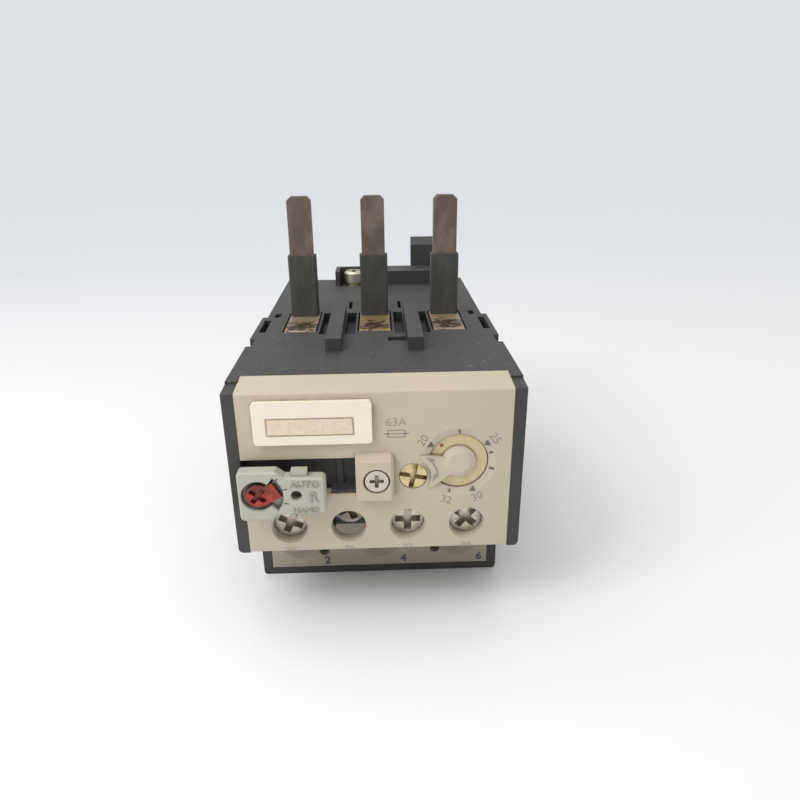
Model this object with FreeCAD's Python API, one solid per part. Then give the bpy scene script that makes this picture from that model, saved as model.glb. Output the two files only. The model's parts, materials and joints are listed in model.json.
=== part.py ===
import FreeCAD
import Part
import math
import os

# Thermal overload relay for three poles, with four auxiliary terminals.
# x runs across the front, y from the front face to the back, z up from the standing face.
# The model is laid out from the front face and moved to the middle of its box at the end.
# All sizes are in millimetres.

V = FreeCAD.Vector

# ---- housing ---------------------------------------------------------------
pole_pitch = 16.8
pole_wall = 2.0
pole_side_wall = 1.6
waist_width = 3 * pole_pitch - pole_wall + 2 * pole_side_wall
shoulder = 1.2             # how far the mechanism end stands out at each side
case_width = waist_width + 2 * shoulder
case_depth = 90.0
body_height = 50.0
front_depth = 25.2         # length of the wide end
front_bottom = 16.4        # underside of the wide end
side_wall = 2.2
bay_floor = 2.2
bay_roof = 2.2
bulkhead = 2.4
bay_back = front_depth - bulkhead
chamber_floor = 18.4
chamber_roof = 3.0
chamber_top = body_height - chamber_roof
step_depth = 4.4           # lowered front end of the side walls
step_drop = 0.45
corner_radius = 1.0
foot_radius = 0.8

# ---- lower terminal block ---------------------------------------------------
block_front = front_depth - 10.2
block_rim = 2.0
block_sole = 1.7
terminal_cover_depth = 1.6
terminal_cover_top = 15.2
access_radius = 4.9
load_height = 8.6
latch_hole_radius = 1.1
latch_hole_x = 12.2
latch_hole_z = 5.75
well_half = 6.5
well_floor = 2.2
well_top = 14.8
well_back = block_front + 23.0
block_back = well_back + 3.0
cable_half = 4.9
lug_front = block_front + 7.0
lug_back = lug_front + 15.4
cable_front = lug_front + 3.8
cable_back = lug_back - 1.5

# ---- top of the housing -------------------------------------------------------
ear_front = front_depth + 5.0
ear_back = ear_front + 17.8
ear_height = 14.0
ear_slot_width = 1.5
ear_slot_depth = 8.0
ear_hole = 1.4
rib_width = 3.2
rib_front = front_depth - 4.7
rib_back = rib_front + 28.0
rib_height = 2.8
pocket_width = 2.2
pocket_front = ear_front + 2.8
pocket_back = pocket_front + 18.0
rear_wall_left = -11.3
rear_wall_front = case_depth - 8.0
rear_wall_height = 3.9
link_x = -6.0
link_y = case_depth - 5.2
link_pocket_width = 8.2
link_floor = chamber_top + 1.0
link_boss = 2.1
link_seat = 1.2            # thickness of the flange under the screw
link_travel = 1.2

# ---- rear cover and coupling hook ---------------------------------------------
rear_cover_depth = 2.0
rear_rim = 0.9
hook_left = 10.9
hook_width = 9.0
hook_depth = 4.0
hook_bottom = 34.0
hook_height = 10.0
hook_slope = 1.8

# ---- front cover ----------------------------------------------------------------
cover_depth = 2.2
cover_front_top = body_height - 0.7
cover_lip_depth = 7.3
seat_gap = 0.05
window_bottom = 28.9
window_top = 36.35
window_right = -3.9
boss_proud = 2.0
boss_right = 3.1
boss_bottom = 28.3
boss_top = 37.35
boss_face_top = 36.2
cover_screw_x = -0.1
cover_screw_z = 32.35

# ---- marker ---------------------------------------------------------------------
marker_left = -21.8
marker_right = -0.65
marker_top = body_height - 2.1
marker_bottom = marker_top - 8.25
marker_proud = 1.0
insert_left = -19.2
insert_right = -4.1
insert_bottom = marker_bottom + 2.05
insert_top = insert_bottom + 2.95

# ---- setting train ----------------------------------------------------------------
gear_module = 0.4
dial_teeth = 33
pinion_teeth = 11
pressure_angle = 25.0
dial_x = 15.07
dial_z = 34.9
train_angle = 197.5        # direction from the dial to the adjuster
hub_radius = 3.15
ring_radius = 5.35
ring_front = 0.75
gear_front = 2.5
gear_depth = 1.8
cam_depth = 1.8
cam_low = 4.3
cam_rise = 2.0
dial_low_deg = -10.0
dial_high_deg = 241.0
adjuster_head_radius = 2.55

# ---- pivots and fits ---------------------------------------------------------------
pin_radius = 1.0
pin_length = 7.0
running_fit = 0.05
press_gap = 0.02
free_gap = 0.3

# ---- trip mechanism -----------------------------------------------------------------
trip_travel = 2.0
rocker_z = 38.0
rocker_front = 14.4
rocker_depth = 3.4
compensator_x = 19.2
compensator_z = body_height - 5.0
compensator_front = 15.2
compensator_depth = 2.4
setting_x = 4.5
setting_z = body_height - 5.0
contact_travel = 1.45
contact_gap = 0.05
contact_y = 12.0

# ---- poles -----------------------------------------------------------------------------
slider_front = front_depth + 2.0
strip_front = slider_front + 1.8
strip_root = case_depth - 14.0
strip_bottom = 28.0
strip_height = 8.0
strip_depth = 1.2
coil_pitch = 4.4
coil_start = strip_front + 9.0
coil_turns = int((strip_root - 6.0 - coil_start) / coil_pitch)
slider_depth = 3.2
slider_bottom = 37.5
slider_height = 4.0
pin_bar_width = 5.4
pin_bar_depth = 2.6
pin_y = front_depth + 24.8
pin_top = 77.7
foot_width = 7.0
foot_depth = 1.6
foot_front = front_depth + 10.2
sleeve_wall = 0.55
sleeve_top = 64.4

# ---- auxiliary terminals ------------------------------------------------------------------
aux_pitch = (case_width - 9.0) / 4
aux_z = 21.75
aux_bore = 3.2
aux_head_radius = 3.1
aux_head = 1.9
aux_shank = 1.75
aux_shank_length = 8.6
aux_travel = 4.2
aux_screw_front = 2.15
aux_washer_half = 3.1
aux_washer = 0.8
aux_plate_y = 9.2
aux_plate = 1.2

# ---- load terminals ---------------------------------------------------------------------------
lug_half = 6.2
lug_thread_wall = 3.5
lug_wall = 1.4
load_screw_radius = 3.0
load_screw_front = block_front + 2.6
load_pad = 1.4
bar_depth = 1.4

# ---- reset and mode selector ------------------------------------------------------------------------
plate_proud = 4.2
plate_depth = 2.4
selector_x = -case_width / 2 + 5.6
selector_z = 31.2
selector_radius = 2.25
pointer_radius = 4.3
sector_low = -41.0         # degrees from +x, seen from the front
sector_span = 93.0
selector_shaft = 1.4
guide_front = 3.6
guide_depth = 1.6
stem_x = -14.5
stem_half = 1.4

poles = [-pole_pitch, 0.0, pole_pitch]
aux_places = [(n - 1.5) * aux_pitch for n in range(4)]
bay_half = case_width / 2 - side_wall
waist_half = waist_width / 2
adjuster_distance = gear_module * (dial_teeth + pinion_teeth) / 2
adjuster_x = dial_x + adjuster_distance * math.cos(math.radians(train_angle))
adjuster_z = dial_z + adjuster_distance * math.sin(math.radians(train_angle))


# ---- helpers --------------------------------------------------------------------------
def box(x0, x1, y0, y1, z0, z1):
    return Part.makeBox(x1 - x0, y1 - y0, z1 - z0, V(x0, y0, z0))


def rod_y(x, z, radius, y0, y1):
    return Part.makeCylinder(radius, y1 - y0, V(x, y0, z), V(0, 1, 0))


def rod_z(x, y, radius, z0, z1):
    return Part.makeCylinder(radius, z1 - z0, V(x, y, z0), V(0, 0, 1))


def cone_y(x, z, front_radius, back_radius, y0, y1):
    return Part.makeCone(front_radius, back_radius, y1 - y0, V(x, y0, z), V(0, 1, 0))


def plate_xz(points, y0, y1):
    """A plate whose outline lies in x and z, from y0 to y1."""
    corners = [V(x, y0, z) for x, z in points]
    face = Part.Face(Part.makePolygon(corners + corners[:1]))
    return face.extrude(V(0, y1 - y0, 0))


def bar_yz(points, x0, x1):
    """A bar whose outline lies in y and z, from x0 to x1."""
    corners = [V(x0, y, z) for y, z in points]
    face = Part.Face(Part.makePolygon(corners + corners[:1]))
    return face.extrude(V(x1 - x0, 0, 0))


def edges_along(solid, axis, test):
    """Straight edges parallel to an axis whose middle passes the test."""
    found = []
    for edge in solid.Edges:
        run = edge.Vertexes[-1].Point - edge.Vertexes[0].Point
        if run.Length > 1e-6 and abs(abs(run.dot(axis)) - run.Length) < 1e-6:
            middle = (edge.Vertexes[-1].Point + edge.Vertexes[0].Point) * 0.5
            if test(middle):
                found.append(edge)
    return found


def rounded(solid, radius, axis, test=lambda p: True):
    return solid.makeFillet(radius, edges_along(solid, axis, test))


def joined(solids):
    whole = solids[0].fuse(solids[1:]) if len(solids) > 1 else solids[0]
    return whole.removeSplitter()


def polar(x, z, radius, degrees):
    turn = math.radians(degrees)
    return (x + radius * math.cos(turn), z + radius * math.sin(turn))


def gear_outline(x, z, teeth, first_deg, backlash=0.06):
    """Involute outline about (x, z) with the middle of a tooth at first_deg."""
    pitch_radius = gear_module * teeth / 2
    slant = math.radians(pressure_angle)
    base = pitch_radius * math.cos(slant)
    tip = pitch_radius + 0.9 * gear_module
    root = pitch_radius - 1.2 * gear_module
    half_pitch = math.pi / (2 * teeth) - backlash / (2 * pitch_radius)

    def half_angle(radius):
        lean = math.acos(min(1.0, base / radius))
        return half_pitch + math.tan(slant) - slant - math.tan(lean) + lean

    low = max(base, root)
    radii = [low + (tip - low) * n / 4 for n in range(5)]
    points = []
    for tooth in range(teeth):
        middle = math.radians(first_deg) + 2 * math.pi * tooth / teeth
        flank = [(root, half_angle(low))] + [(r, half_angle(r)) for r in radii]
        if root >= base:
            flank = flank[1:]
        for radius, half in flank:
            points.append((x + radius * math.cos(middle - half), z + radius * math.sin(middle - half)))
        for radius, half in reversed(flank):
            points.append((x + radius * math.cos(middle + half), z + radius * math.sin(middle + half)))
    return points


# ---- main housing -----------------------------------------------------------------------
def housing_outside():
    """Wide mechanism end, narrower pole end with room for the terminal block, clip ears."""
    wide = box(-case_width / 2, case_width / 2, 0, front_depth, front_bottom, body_height)
    wide = rounded(wide, corner_radius, V(0, 1, 0), lambda p: p.z < front_bottom + 0.1)
    body = box(-waist_half, waist_half, front_depth, case_depth, 0, body_height)
    body = rounded(body, foot_radius, V(0, 1, 0), lambda p: p.z < 0.1)
    body = body.cut(box(-waist_half - 1, waist_half + 1, front_depth - 1, block_back,
                        -1, front_bottom))
    ears = box(-case_width / 2, case_width / 2, ear_front, ear_back,
               body_height - ear_height, body_height)
    solids = [wide, body, ears]
    for side in (-1, 1):
        middle = side * pole_pitch / 2
        solids.append(box(middle - rib_width / 2, middle + rib_width / 2,
                          rib_front, rib_back, body_height - 1, body_height + rib_height))
    solids.append(box(rear_wall_left, hook_left + hook_width, rear_wall_front, case_depth,
                      body_height - 1, body_height + rear_wall_height))
    return joined(solids)


def mechanism_bay():
    """Room behind the front cover, with the seat of the cover and of its lip."""
    room = box(-bay_half, bay_half, -1, bay_back,
               front_bottom + bay_floor, body_height - bay_roof)
    face = box(-bay_half, bay_half, -1, cover_depth, front_bottom - 1, body_height - bay_roof)
    lip = box(-bay_half, bay_half, -1, cover_lip_depth, body_height - bay_roof - 1, body_height + 1)
    slot = box(stop_left(), stop_right(), bay_back - 1, front_depth + 1,
               slider_bottom - free_gap, slider_bottom + slider_height + free_gap)
    return [room, face, lip, slot]


def stop_left():
    return finger_left() - free_gap


def stop_right():
    return finger_left() + finger_width() + trip_travel + free_gap


def finger_width():
    return 2.0


def finger_left():
    """The slider's finger stands free_gap to the left of the compensation lever."""
    return compensator_x - 1.2 - free_gap - finger_width()


def bay_posts():
    """Pivot posts, the post of the cover screw and the walls between auxiliary terminals."""
    posts = []
    for x, z, back in pivots():
        post = rod_y(x, z, pin_radius * 2.2, back, bay_back + 0.5)
        posts.append(post)
    posts.append(rod_y(cover_screw_x, cover_screw_z, 3.0, cover_depth, bay_back + 0.5))
    for n in range(3):
        middle = (n - 1) * aux_pitch
        posts.append(box(middle - 0.6, middle + 0.6, cover_depth + seat_gap, bay_back + 0.5,
                         front_bottom + bay_floor - 0.5, aux_z + 5.6))
    return posts


def pivots():
    """Each pivot as x, z and the front of its post."""
    return [
        (setting_x, setting_z, setting_front() + setting_depth() + 0.2),
        (0.0, rocker_z, rocker_front + rocker_depth + 0.2),
        (compensator_x, compensator_z, compensator_front + compensator_depth + 0.2),
    ]


def setting_front():
    return gear_front + gear_depth + 0.1


def setting_depth():
    return cam_depth - 0.2


def pole_chambers():
    cuts = []
    half = (pole_pitch - pole_wall) / 2
    for x in poles:
        cuts.append(box(x - half, x + half, front_depth, case_depth + 1, chamber_floor, chamber_top))
        lower = box(x - half, x + half, block_back + 2, case_depth + 1, well_floor, chamber_floor - 2)
        cuts.append(lower)
    outer = waist_half - pole_side_wall
    cuts.append(box(-outer, outer, front_depth, slider_front + slider_depth + 0.6,
                    slider_bottom - 0.1, slider_bottom + slider_height + 0.9))
    rim = waist_half - rear_rim
    cuts.append(box(-rim, rim, case_depth - rear_cover_depth, case_depth + 1,
                    rear_rim, body_height - rear_rim))
    return cuts


def bar_ways():
    """Slots that the load bars pass through."""
    return [box(x - 4.2, x + 4.2, bar_front() - 0.1, bar_front() + bar_depth + 0.1,
                well_floor, chamber_floor + 1) for x in poles]


def wire_ways():
    """Notches in the bay's floor for the control wires, closed in front by the cover."""
    return [box(x - 3.2, x + 3.2, -1, aux_plate_y - 0.1, front_bottom - 1,
                front_bottom + bay_floor + 1) for x in aux_places]


def terminal_block():
    """Lower moulding with the wells of the load terminals and their cable ways from below."""
    block = box(-waist_half, waist_half, block_front, block_back, 0, front_bottom)
    block = rounded(block, foot_radius, V(0, 1, 0), lambda p: p.z < 0.1)
    cuts = [box(-waist_half + block_rim, waist_half - block_rim, block_front - 1,
                block_front + terminal_cover_depth, block_sole, terminal_cover_top)]
    for x in poles:
        cuts.append(box(x - well_half, x + well_half, block_front, well_back, well_floor, well_top))
        cuts.append(box(x - cable_half, x + cable_half, cable_front, cable_back, -1, well_floor + 1))
    return block.cut(cuts + bar_ways())


def top_cuts():
    """Recesses round the feet of the pins, core pockets beside the ribs and ear slots."""
    cuts = []
    for x in poles:
        cuts.append(box(x - foot_width / 2 - 0.4, x + foot_width / 2 + 0.4,
                        foot_front - 0.4, pin_y + pin_bar_depth / 2 + 0.5,
                        body_height - foot_depth, body_height + 1))
        cuts.append(box(x - foot_width / 2 + 0.4, x + foot_width / 2 - 0.4,
                        foot_front - 0.1, foot_front + foot_depth + 0.1,
                        chamber_top - 1, body_height))
    for side in (-1, 1):
        rib = side * pole_pitch / 2
        for edge in (-1, 1):
            inner = rib + edge * (rib_width / 2 + pocket_width / 2 + 0.15)
            pocket = box(inner - pocket_width / 2, inner + pocket_width / 2, pocket_front,
                         pocket_back, body_height - 2.4, body_height + 1)
            cuts.append(pocket)
        ear = side * (waist_half - 0.6)
        cuts.append(box(ear - ear_slot_width / 2, ear + ear_slot_width / 2, ear_front + 5,
                        ear_back - 2.8, body_height - ear_slot_depth, body_height + 1))
        hole = side * (waist_half - 2.3)
        cuts.append(box(hole - ear_hole / 2, hole + ear_hole / 2, ear_back - 0.2,
                        ear_back + 3.2, body_height - 2.0, body_height + 1))
        core = side * 6.2
        cuts.append(box(core - 0.4, core + 0.4, ear_back + 7, ear_back + 14,
                        body_height - 2.0, body_height + 1))
        cuts.append(step_cut(side))
    cuts.append(box(2.85, 6.8, 27.3, 30.2, body_height - 2.0, body_height + 1))
    left, right = link_x - link_pocket_width / 2, link_x + link_pocket_width / 2
    roof = body_height + rear_wall_height + 1
    cuts.append(box(left, right, rear_wall_front - 1, case_depth - rear_cover_depth - 0.2,
                    link_floor, roof))
    cuts.append(box(left, right, rear_wall_front - 1, case_depth - 1.0,
                    body_height - rear_rim + seat_gap, roof))
    return cuts


def step_cut(side):
    """The side walls start a little lower at the front."""
    outline = [(-1, body_height - step_drop - 0.35), (step_depth, body_height - step_drop),
               (step_depth, body_height + 1), (-1, body_height + 1)]
    inner = side * (bay_half - 0.5)
    outer = side * (case_width / 2 + 1)
    return bar_yz(outline, min(inner, outer), max(inner, outer))


def main_housing():
    solid = housing_outside()
    solid = solid.cut(mechanism_bay() + pole_chambers() + bar_ways() + wire_ways() + top_cuts())
    solid = solid.fuse(bay_posts())
    holes = [rod_y(x, z, pin_radius + press_gap, y - 1, y + 3.1)
             for (x, z, y) in pivots()]
    holes.append(rod_y(cover_screw_x, cover_screw_z, 1.5 + press_gap, 0, 12))
    holes.append(rod_z(link_x, link_y, link_boss + 0.1, link_floor - 6, link_floor + 1))
    return solid.cut(holes).removeSplitter()


# ---- covers -----------------------------------------------------------------------------------
def front_cover():
    half = bay_half - seat_gap
    top = body_height
    profile = [(0, front_bottom), (0, cover_front_top), (cover_lip_depth - seat_gap, top),
               (cover_lip_depth - seat_gap, top - bay_roof + seat_gap),
               (cover_depth, top - bay_roof + seat_gap), (cover_depth, front_bottom)]
    solid = bar_yz(profile, -half, half)
    solid = rounded(solid, 0.5, V(1, 0, 0), lambda p: p.y < 0.01)
    raised = bar_yz([(0.5, boss_bottom), (-boss_proud, boss_bottom), (-boss_proud, boss_face_top),
                     (0, boss_top), (0.5, boss_top)], window_right, boss_right)
    raised = raised.makeChamfer(0.5, [e for e in raised.Edges if corner_of_boss(e)])
    solid = solid.fuse(raised)
    cuts = [box(-half - 1, window_right, -1, cover_depth + 1, window_bottom, window_top)]
    for x in aux_places:
        cuts.append(rod_y(x, aux_z, aux_bore, -1, cover_depth + 1))
        cuts.append(cone_y(x, aux_z, aux_bore + 0.2, aux_bore, -0.01, 0.6))
    cuts.append(rod_y(cover_screw_x, cover_screw_z, 2.45, -boss_proud - 1, 0.2))
    cuts.append(rod_y(cover_screw_x, cover_screw_z, 1.7, -1, cover_depth + 1))
    cuts.append(rod_y(adjuster_x, adjuster_z, adjuster_head_radius + 2 * running_fit,
                      -1, cover_depth + 1))
    cuts.append(rod_y(dial_x, dial_z, ring_radius + 0.15, -1, cover_depth + 1))
    cuts.append(cone_y(dial_x, dial_z, 6.9, ring_radius + 0.15, -0.01, 0.45))
    cuts += marker_studs(0.1)
    solid = solid.cut(cuts)
    return joined([solid, dial_hub(), fishtail()])


def corner_of_boss(edge):
    """The right-hand edges of the raised boss that run down its side."""
    ends = [v.Point for v in edge.Vertexes]
    return len(ends) == 2 and all(p.x > boss_right - 0.01 and p.y <= 0.01 for p in ends)


def dial_hub():
    """Fixed journal of the dial wheel with its bevelled face."""
    back = gear_front + gear_depth + cam_depth + 0.3
    journal = rod_y(dial_x, dial_z, hub_radius, 0.2, back)
    bevel = cone_y(dial_x, dial_z, hub_radius - 1.2, hub_radius, -0.45, 0.2)
    return journal.fuse(bevel)


def fishtail():
    """Bridge between the fixed hub and the cover, with a fin at each side of the adjuster."""
    corners = [polar(dial_x, dial_z, 2.6, 155), polar(dial_x, dial_z, 7.6, 167),
               polar(dial_x, dial_z, 7.6, 226), polar(dial_x, dial_z, 2.6, 240)]
    bridge = plate_xz(corners, -0.12, ring_front - 0.2)
    return bridge.cut(rod_y(adjuster_x, adjuster_z, adjuster_head_radius + 0.75, -1, 1))


def rear_cover():
    """Back plate in the rim of the housing, with the coupling hook that stands above the top."""
    half = waist_half - rear_rim - seat_gap
    plate = box(-half, half, case_depth - rear_cover_depth, case_depth,
                rear_rim + seat_gap, body_height - rear_rim - seat_gap)
    hook_top = body_height + hook_height
    profile = [(case_depth - 0.5, hook_bottom), (case_depth, hook_bottom),
               (case_depth + hook_depth, hook_bottom + hook_depth),
               (case_depth + hook_depth, hook_top + hook_slope), (case_depth, hook_top),
               (case_depth, body_height - rear_rim - seat_gap),
               (case_depth - 0.5, body_height - rear_rim - seat_gap)]
    hook = bar_yz(profile, hook_left, hook_left + hook_width)
    relief = box(hook_left + 1.5, hook_left + hook_width - 1.5, case_depth + 1.6,
                 case_depth + hook_depth + 1, hook_bottom - 1, body_height - 3)
    return joined([plate, hook.cut(relief)])


def terminal_cover():
    half = waist_half - block_rim - seat_gap
    solid = box(-half, half, block_front, block_front + terminal_cover_depth,
                block_sole + seat_gap, terminal_cover_top - seat_gap)
    cuts = []
    for x in poles:
        inner = load_screw_radius + 0.25
        cuts.append(rod_y(x, load_height, inner, block_front - 1, block_front + 3))
        cuts.append(cone_y(x, load_height, access_radius, inner, block_front - 0.01,
                           block_front + 1.2))
    for side in (-1, 1):
        cuts.append(rod_y(side * latch_hole_x, latch_hole_z, latch_hole_radius,
                          block_front - 1, block_front + 3))
    return solid.cut(cuts)


def marker_studs(gap):
    """Two snap studs of the marker plate, or their holes when gap is more than zero."""
    middle = (marker_bottom + marker_top) / 2
    return [rod_y(x, middle, 1.2 + gap, 0 - gap, cover_depth)
            for x in (marker_left + 3, marker_right - 3)]


def marker_plate():
    """Snap-on marker carrier with its raised blank strip."""
    plate = box(marker_left, marker_right, -marker_proud, 0, marker_bottom, marker_top)
    plate = rounded(plate, 0.7, V(0, 1, 0))
    groove = box(insert_left - 0.25, insert_right + 0.25, -marker_proud - 1, -marker_proud + 0.2,
                 insert_bottom - 0.25, insert_top + 0.25)
    strip = box(insert_left, insert_right, -marker_proud - 0.12, -marker_proud + 0.3,
                insert_bottom, insert_top)
    strip = rounded(strip, 0.25, V(0, 1, 0))
    return joined([plate.cut(groove), strip] + marker_studs(0.0))


# ---- screws --------------------------------------------------------------------------------------
def cross_slots(x, z, y0, depth, reach, width):
    """Cross recess in the front of a screw head."""
    bars = [box(x - reach, x + reach, y0 - 1, y0 + depth, z - width / 2, z + width / 2),
            box(x - width / 2, x + width / 2, y0 - 1, y0 + depth, z - reach, z + reach)]
    return bars


def cover_screw():
    head = rod_y(cover_screw_x, cover_screw_z, 2.15, -boss_proud + 0.1, 0.2)
    shank = rod_y(cover_screw_x, cover_screw_z, 1.5, 0.2, 11)
    slots = cross_slots(cover_screw_x, cover_screw_z, -boss_proud + 0.1, 0.9, 1.3, 0.7)
    return head.fuse(shank).cut(slots).removeSplitter()


def aux_advance(n):
    """How far screw n is driven in as stored: the second one is down on its plate."""
    return aux_travel if n == 1 else 0.0


def aux_screw(n):
    x = aux_places[n]
    front = aux_screw_front + aux_advance(n)
    head = rod_y(x, aux_z, aux_head_radius, front, front + aux_head)
    shank = rod_y(x, aux_z, aux_shank, front + aux_head, front + aux_head + aux_shank_length)
    slots = cross_slots(x, aux_z, front, 1.4, 2.45, 1.4)
    turned = Part.makeCompound(slots)
    turned.rotate(V(x, 0, aux_z), V(0, 1, 0), (25, 70, 0, 40)[n])
    return head.fuse(shank).cut(turned).removeSplitter()


def aux_clamp(n):
    """Square clamp washer that is captive under the head."""
    x = aux_places[n]
    front = aux_screw_front + aux_advance(n) + aux_head + running_fit
    plate = box(x - aux_washer_half, x + aux_washer_half, front, front + aux_washer,
                aux_z - aux_washer_half, aux_z + aux_washer_half)
    return plate.cut(rod_y(x, aux_z, aux_shank + running_fit, front - 1, front + aux_washer + 1))


def aux_terminal(n):
    """Bent terminal strip: clamping face, foot on the bay floor, contact tab with its rivet."""
    x = aux_places[n]
    back = aux_plate_y + aux_plate
    floor = front_bottom + bay_floor
    tab_top = floor + 10.9
    plate = box(x - aux_pitch / 2 + 0.8, x + aux_pitch / 2 - 0.8, aux_plate_y, back, floor, aux_z + 4.6)
    neck = box(x - 2.6, x + 2.6, aux_plate_y, back, aux_z + 4, tab_top)
    tab = box(x - 2.6, x + 2.6, aux_plate_y, contact_y + 2, tab_top - aux_plate, tab_top)
    rivet = rod_z(x, contact_y, 1.3, tab_top - 0.1, tab_top + 0.8)
    hole = rod_y(x, aux_z, aux_shank + running_fit, aux_plate_y - 1, back + 1)
    return joined([plate, neck, tab, rivet]).cut(hole)


def contact_top():
    return front_bottom + bay_floor + 10.9 + 0.8


def load_screw(x):
    back = lug_front + lug_thread_wall + 0.1
    solid = rod_y(x, load_height, load_screw_radius, load_screw_front, back)
    slots = cross_slots(x, load_height, load_screw_front, 1.6, 2.1, 1.1)
    return solid.cut(slots)


def load_pad_plate(x):
    front = lug_front + lug_thread_wall + 0.15
    return rounded(box(x - 4.2, x + 4.2, front, front + load_pad, load_height - 4.0,
                       load_height + 4.0), 0.8, V(0, 1, 0))


def load_lug(x):
    """Box lug round the load bar: threaded front wall, cable way from below."""
    bottom = well_floor + seat_gap
    outer = box(x - lug_half, x + lug_half, lug_front, lug_back, bottom, well_top - seat_gap)
    outer = rounded(outer, 0.8, V(0, 0, 1))
    inner = box(x - lug_half + lug_wall, x + lug_half - lug_wall, lug_front + lug_thread_wall,
                lug_back - lug_wall, bottom - 1, well_top + 1)
    thread = rod_y(x, load_height, load_screw_radius + running_fit, lug_front - 1,
                   lug_front + lug_thread_wall + 1)
    return outer.cut([inner, thread])


def bar_front():
    return lug_back - lug_wall - bar_depth


def load_bar(x):
    """Bent strip from the load lug, up through the floor, back along it to the bimetal's root."""
    y0 = bar_front()
    run_top = chamber_floor + bar_depth
    tail = box(x - 4.0, x + 4.0, y0, y0 + bar_depth, well_floor + 1.2, run_top)
    run = box(x - 4.0, x + 4.0, y0, strip_root + 3, chamber_floor, run_top)
    post = box(x - 4.0, x + 4.0, strip_root - 3, strip_root + 3, chamber_floor, strip_bottom - 0.8)
    clamp = box(x - 2.6, x + 2.6, strip_root - 3, strip_root + 3, strip_bottom - 1.5,
                strip_bottom + strip_height)
    gap = box(x - strip_depth / 2 - free_gap, x + strip_depth / 2 + free_gap, strip_root - 4,
              strip_root + 1.2, strip_bottom - 0.3, strip_bottom + strip_height + 1)
    return joined([tail, run, post, clamp]).cut(gap)


def link_base():
    """Underside of the link screw's head, backed out by its travel."""
    return link_floor + link_seat + free_gap / 6 + link_travel + 0.7


def link_terminal():
    """Brass flange of the rear link terminal with its threaded boss."""
    flange = box(link_x - 3.4, link_x + 3.4, link_y - 3.0, link_y + 1.5,
                 link_floor, link_floor + link_seat)
    boss = rod_z(link_x, link_y, link_boss, link_floor - 5, link_floor + 0.1)
    bore = rod_z(link_x, link_y, aux_shank + running_fit, link_floor - 6, link_floor + 2)
    return joined([flange, boss]).cut(bore)


def link_washer():
    base = link_base() - 0.65
    ring = rod_z(link_x, link_y, 2.7, base, base + 0.6)
    return ring.cut(rod_z(link_x, link_y, aux_shank + running_fit, base - 1, base + 1))


def link_screw():
    base = link_base()
    head = rod_z(link_x, link_y, 2.8, base, base + 2.5)
    head = head.makeChamfer(0.5, [e for e in head.Edges if e.Vertexes[0].Z > base + 2.4])
    shank = rod_z(link_x, link_y, aux_shank, base - 6.5, base)
    slots = [box(link_x - 1.9, link_x + 1.9, link_y - 0.5, link_y + 0.5, base + 1.2, base + 3),
             box(link_x - 0.5, link_x + 0.5, link_y - 1.9, link_y + 1.9, base + 1.2, base + 3)]
    return joined([head, shank]).cut(slots)


# ---- poles -----------------------------------------------------------------------------------------
def line_pin(x):
    """Flat pin bent into a wide foot, with a tail that goes down to the heater."""
    front = foot_front
    back = pin_y + pin_bar_depth / 2
    foot_bottom = body_height - foot_depth
    outline = [(front, foot_bottom), (back, foot_bottom), (back, body_height),
               (front, body_height)]
    foot = bar_yz(outline, x - foot_width / 2, x + foot_width / 2)
    foot = rounded(foot, 1.0, V(1, 0, 0), lambda p: p.y < front + 0.1 and p.z > foot_bottom + 0.1)
    bar = box(x - pin_bar_width / 2, x + pin_bar_width / 2, pin_y - pin_bar_depth / 2, back,
              foot_bottom + 0.2, pin_top)
    tips = edges_along(bar, V(0, 1, 0), lambda p: p.z > pin_top - 0.1)
    bar = bar.makeChamfer(0.9, tips)
    tail = box(x - foot_width / 2 + 0.5, x + foot_width / 2 - 0.5, front, front + foot_depth,
               coil_top() + free_gap, foot_bottom + 0.3)
    return joined([foot, bar, tail])


def pin_sleeve(x):
    """Insulating sleeve shrunk over the lower half of the pin."""
    half_x = pin_bar_width / 2 + sleeve_wall
    half_y = pin_bar_depth / 2 + sleeve_wall
    outer = box(x - half_x, x + half_x, pin_y - half_y, pin_y + half_y, body_height, sleeve_top)
    outer = rounded(outer, 0.45, V(0, 0, 1))
    inner = box(x - half_x + sleeve_wall, x + half_x - sleeve_wall, pin_y - half_y + sleeve_wall,
                pin_y + half_y - sleeve_wall, body_height - 1, sleeve_top + 1)
    return outer.cut(inner)


def bimetal_strip(x):
    strip = box(x - strip_depth / 2, x + strip_depth / 2, strip_front, strip_root,
                strip_bottom, strip_bottom + strip_height)
    tip = rounded(strip, 1.2, V(1, 0, 0), lambda p: p.y < strip_front + 0.1)
    return tip


def coil_top():
    return strip_bottom + strip_height + 1.6


def heater_coil(x):
    """Mica sleeve on the strip and the heater ribbon wound round it."""
    first = coil_start
    length = coil_turns * coil_pitch
    gap, mica, ribbon, ribbon_width = 0.1, 0.5, 0.6, 2.4
    inner_x = strip_depth / 2 + gap
    low, high = strip_bottom - gap, strip_bottom + strip_height + gap
    sleeve = box(x - inner_x - mica, x + inner_x + mica, first - 1, first + length + 1,
                 low - mica, high + mica)
    sleeve = sleeve.cut(box(x - inner_x, x + inner_x, first - 2, first + length + 2, low, high))
    out = inner_x + mica
    rings = []
    for turn in range(coil_turns):
        start = first + turn * coil_pitch
        ring = box(x - out - ribbon, x + out + ribbon, start, start + ribbon_width,
                   low - mica - ribbon, high + mica + ribbon)
        rings.append(ring.cut(box(x - out, x + out, start - 1, start + ribbon_width + 1,
                                  low - mica, high + mica)))
        if turn < coil_turns - 1:
            side = out if turn % 2 else -out - ribbon
            rings.append(box(x + side, x + side + ribbon, start, start + coil_pitch + 1,
                             high - 2.0, high + mica))
    return Part.makeCompound([sleeve, joined(rings)])


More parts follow.
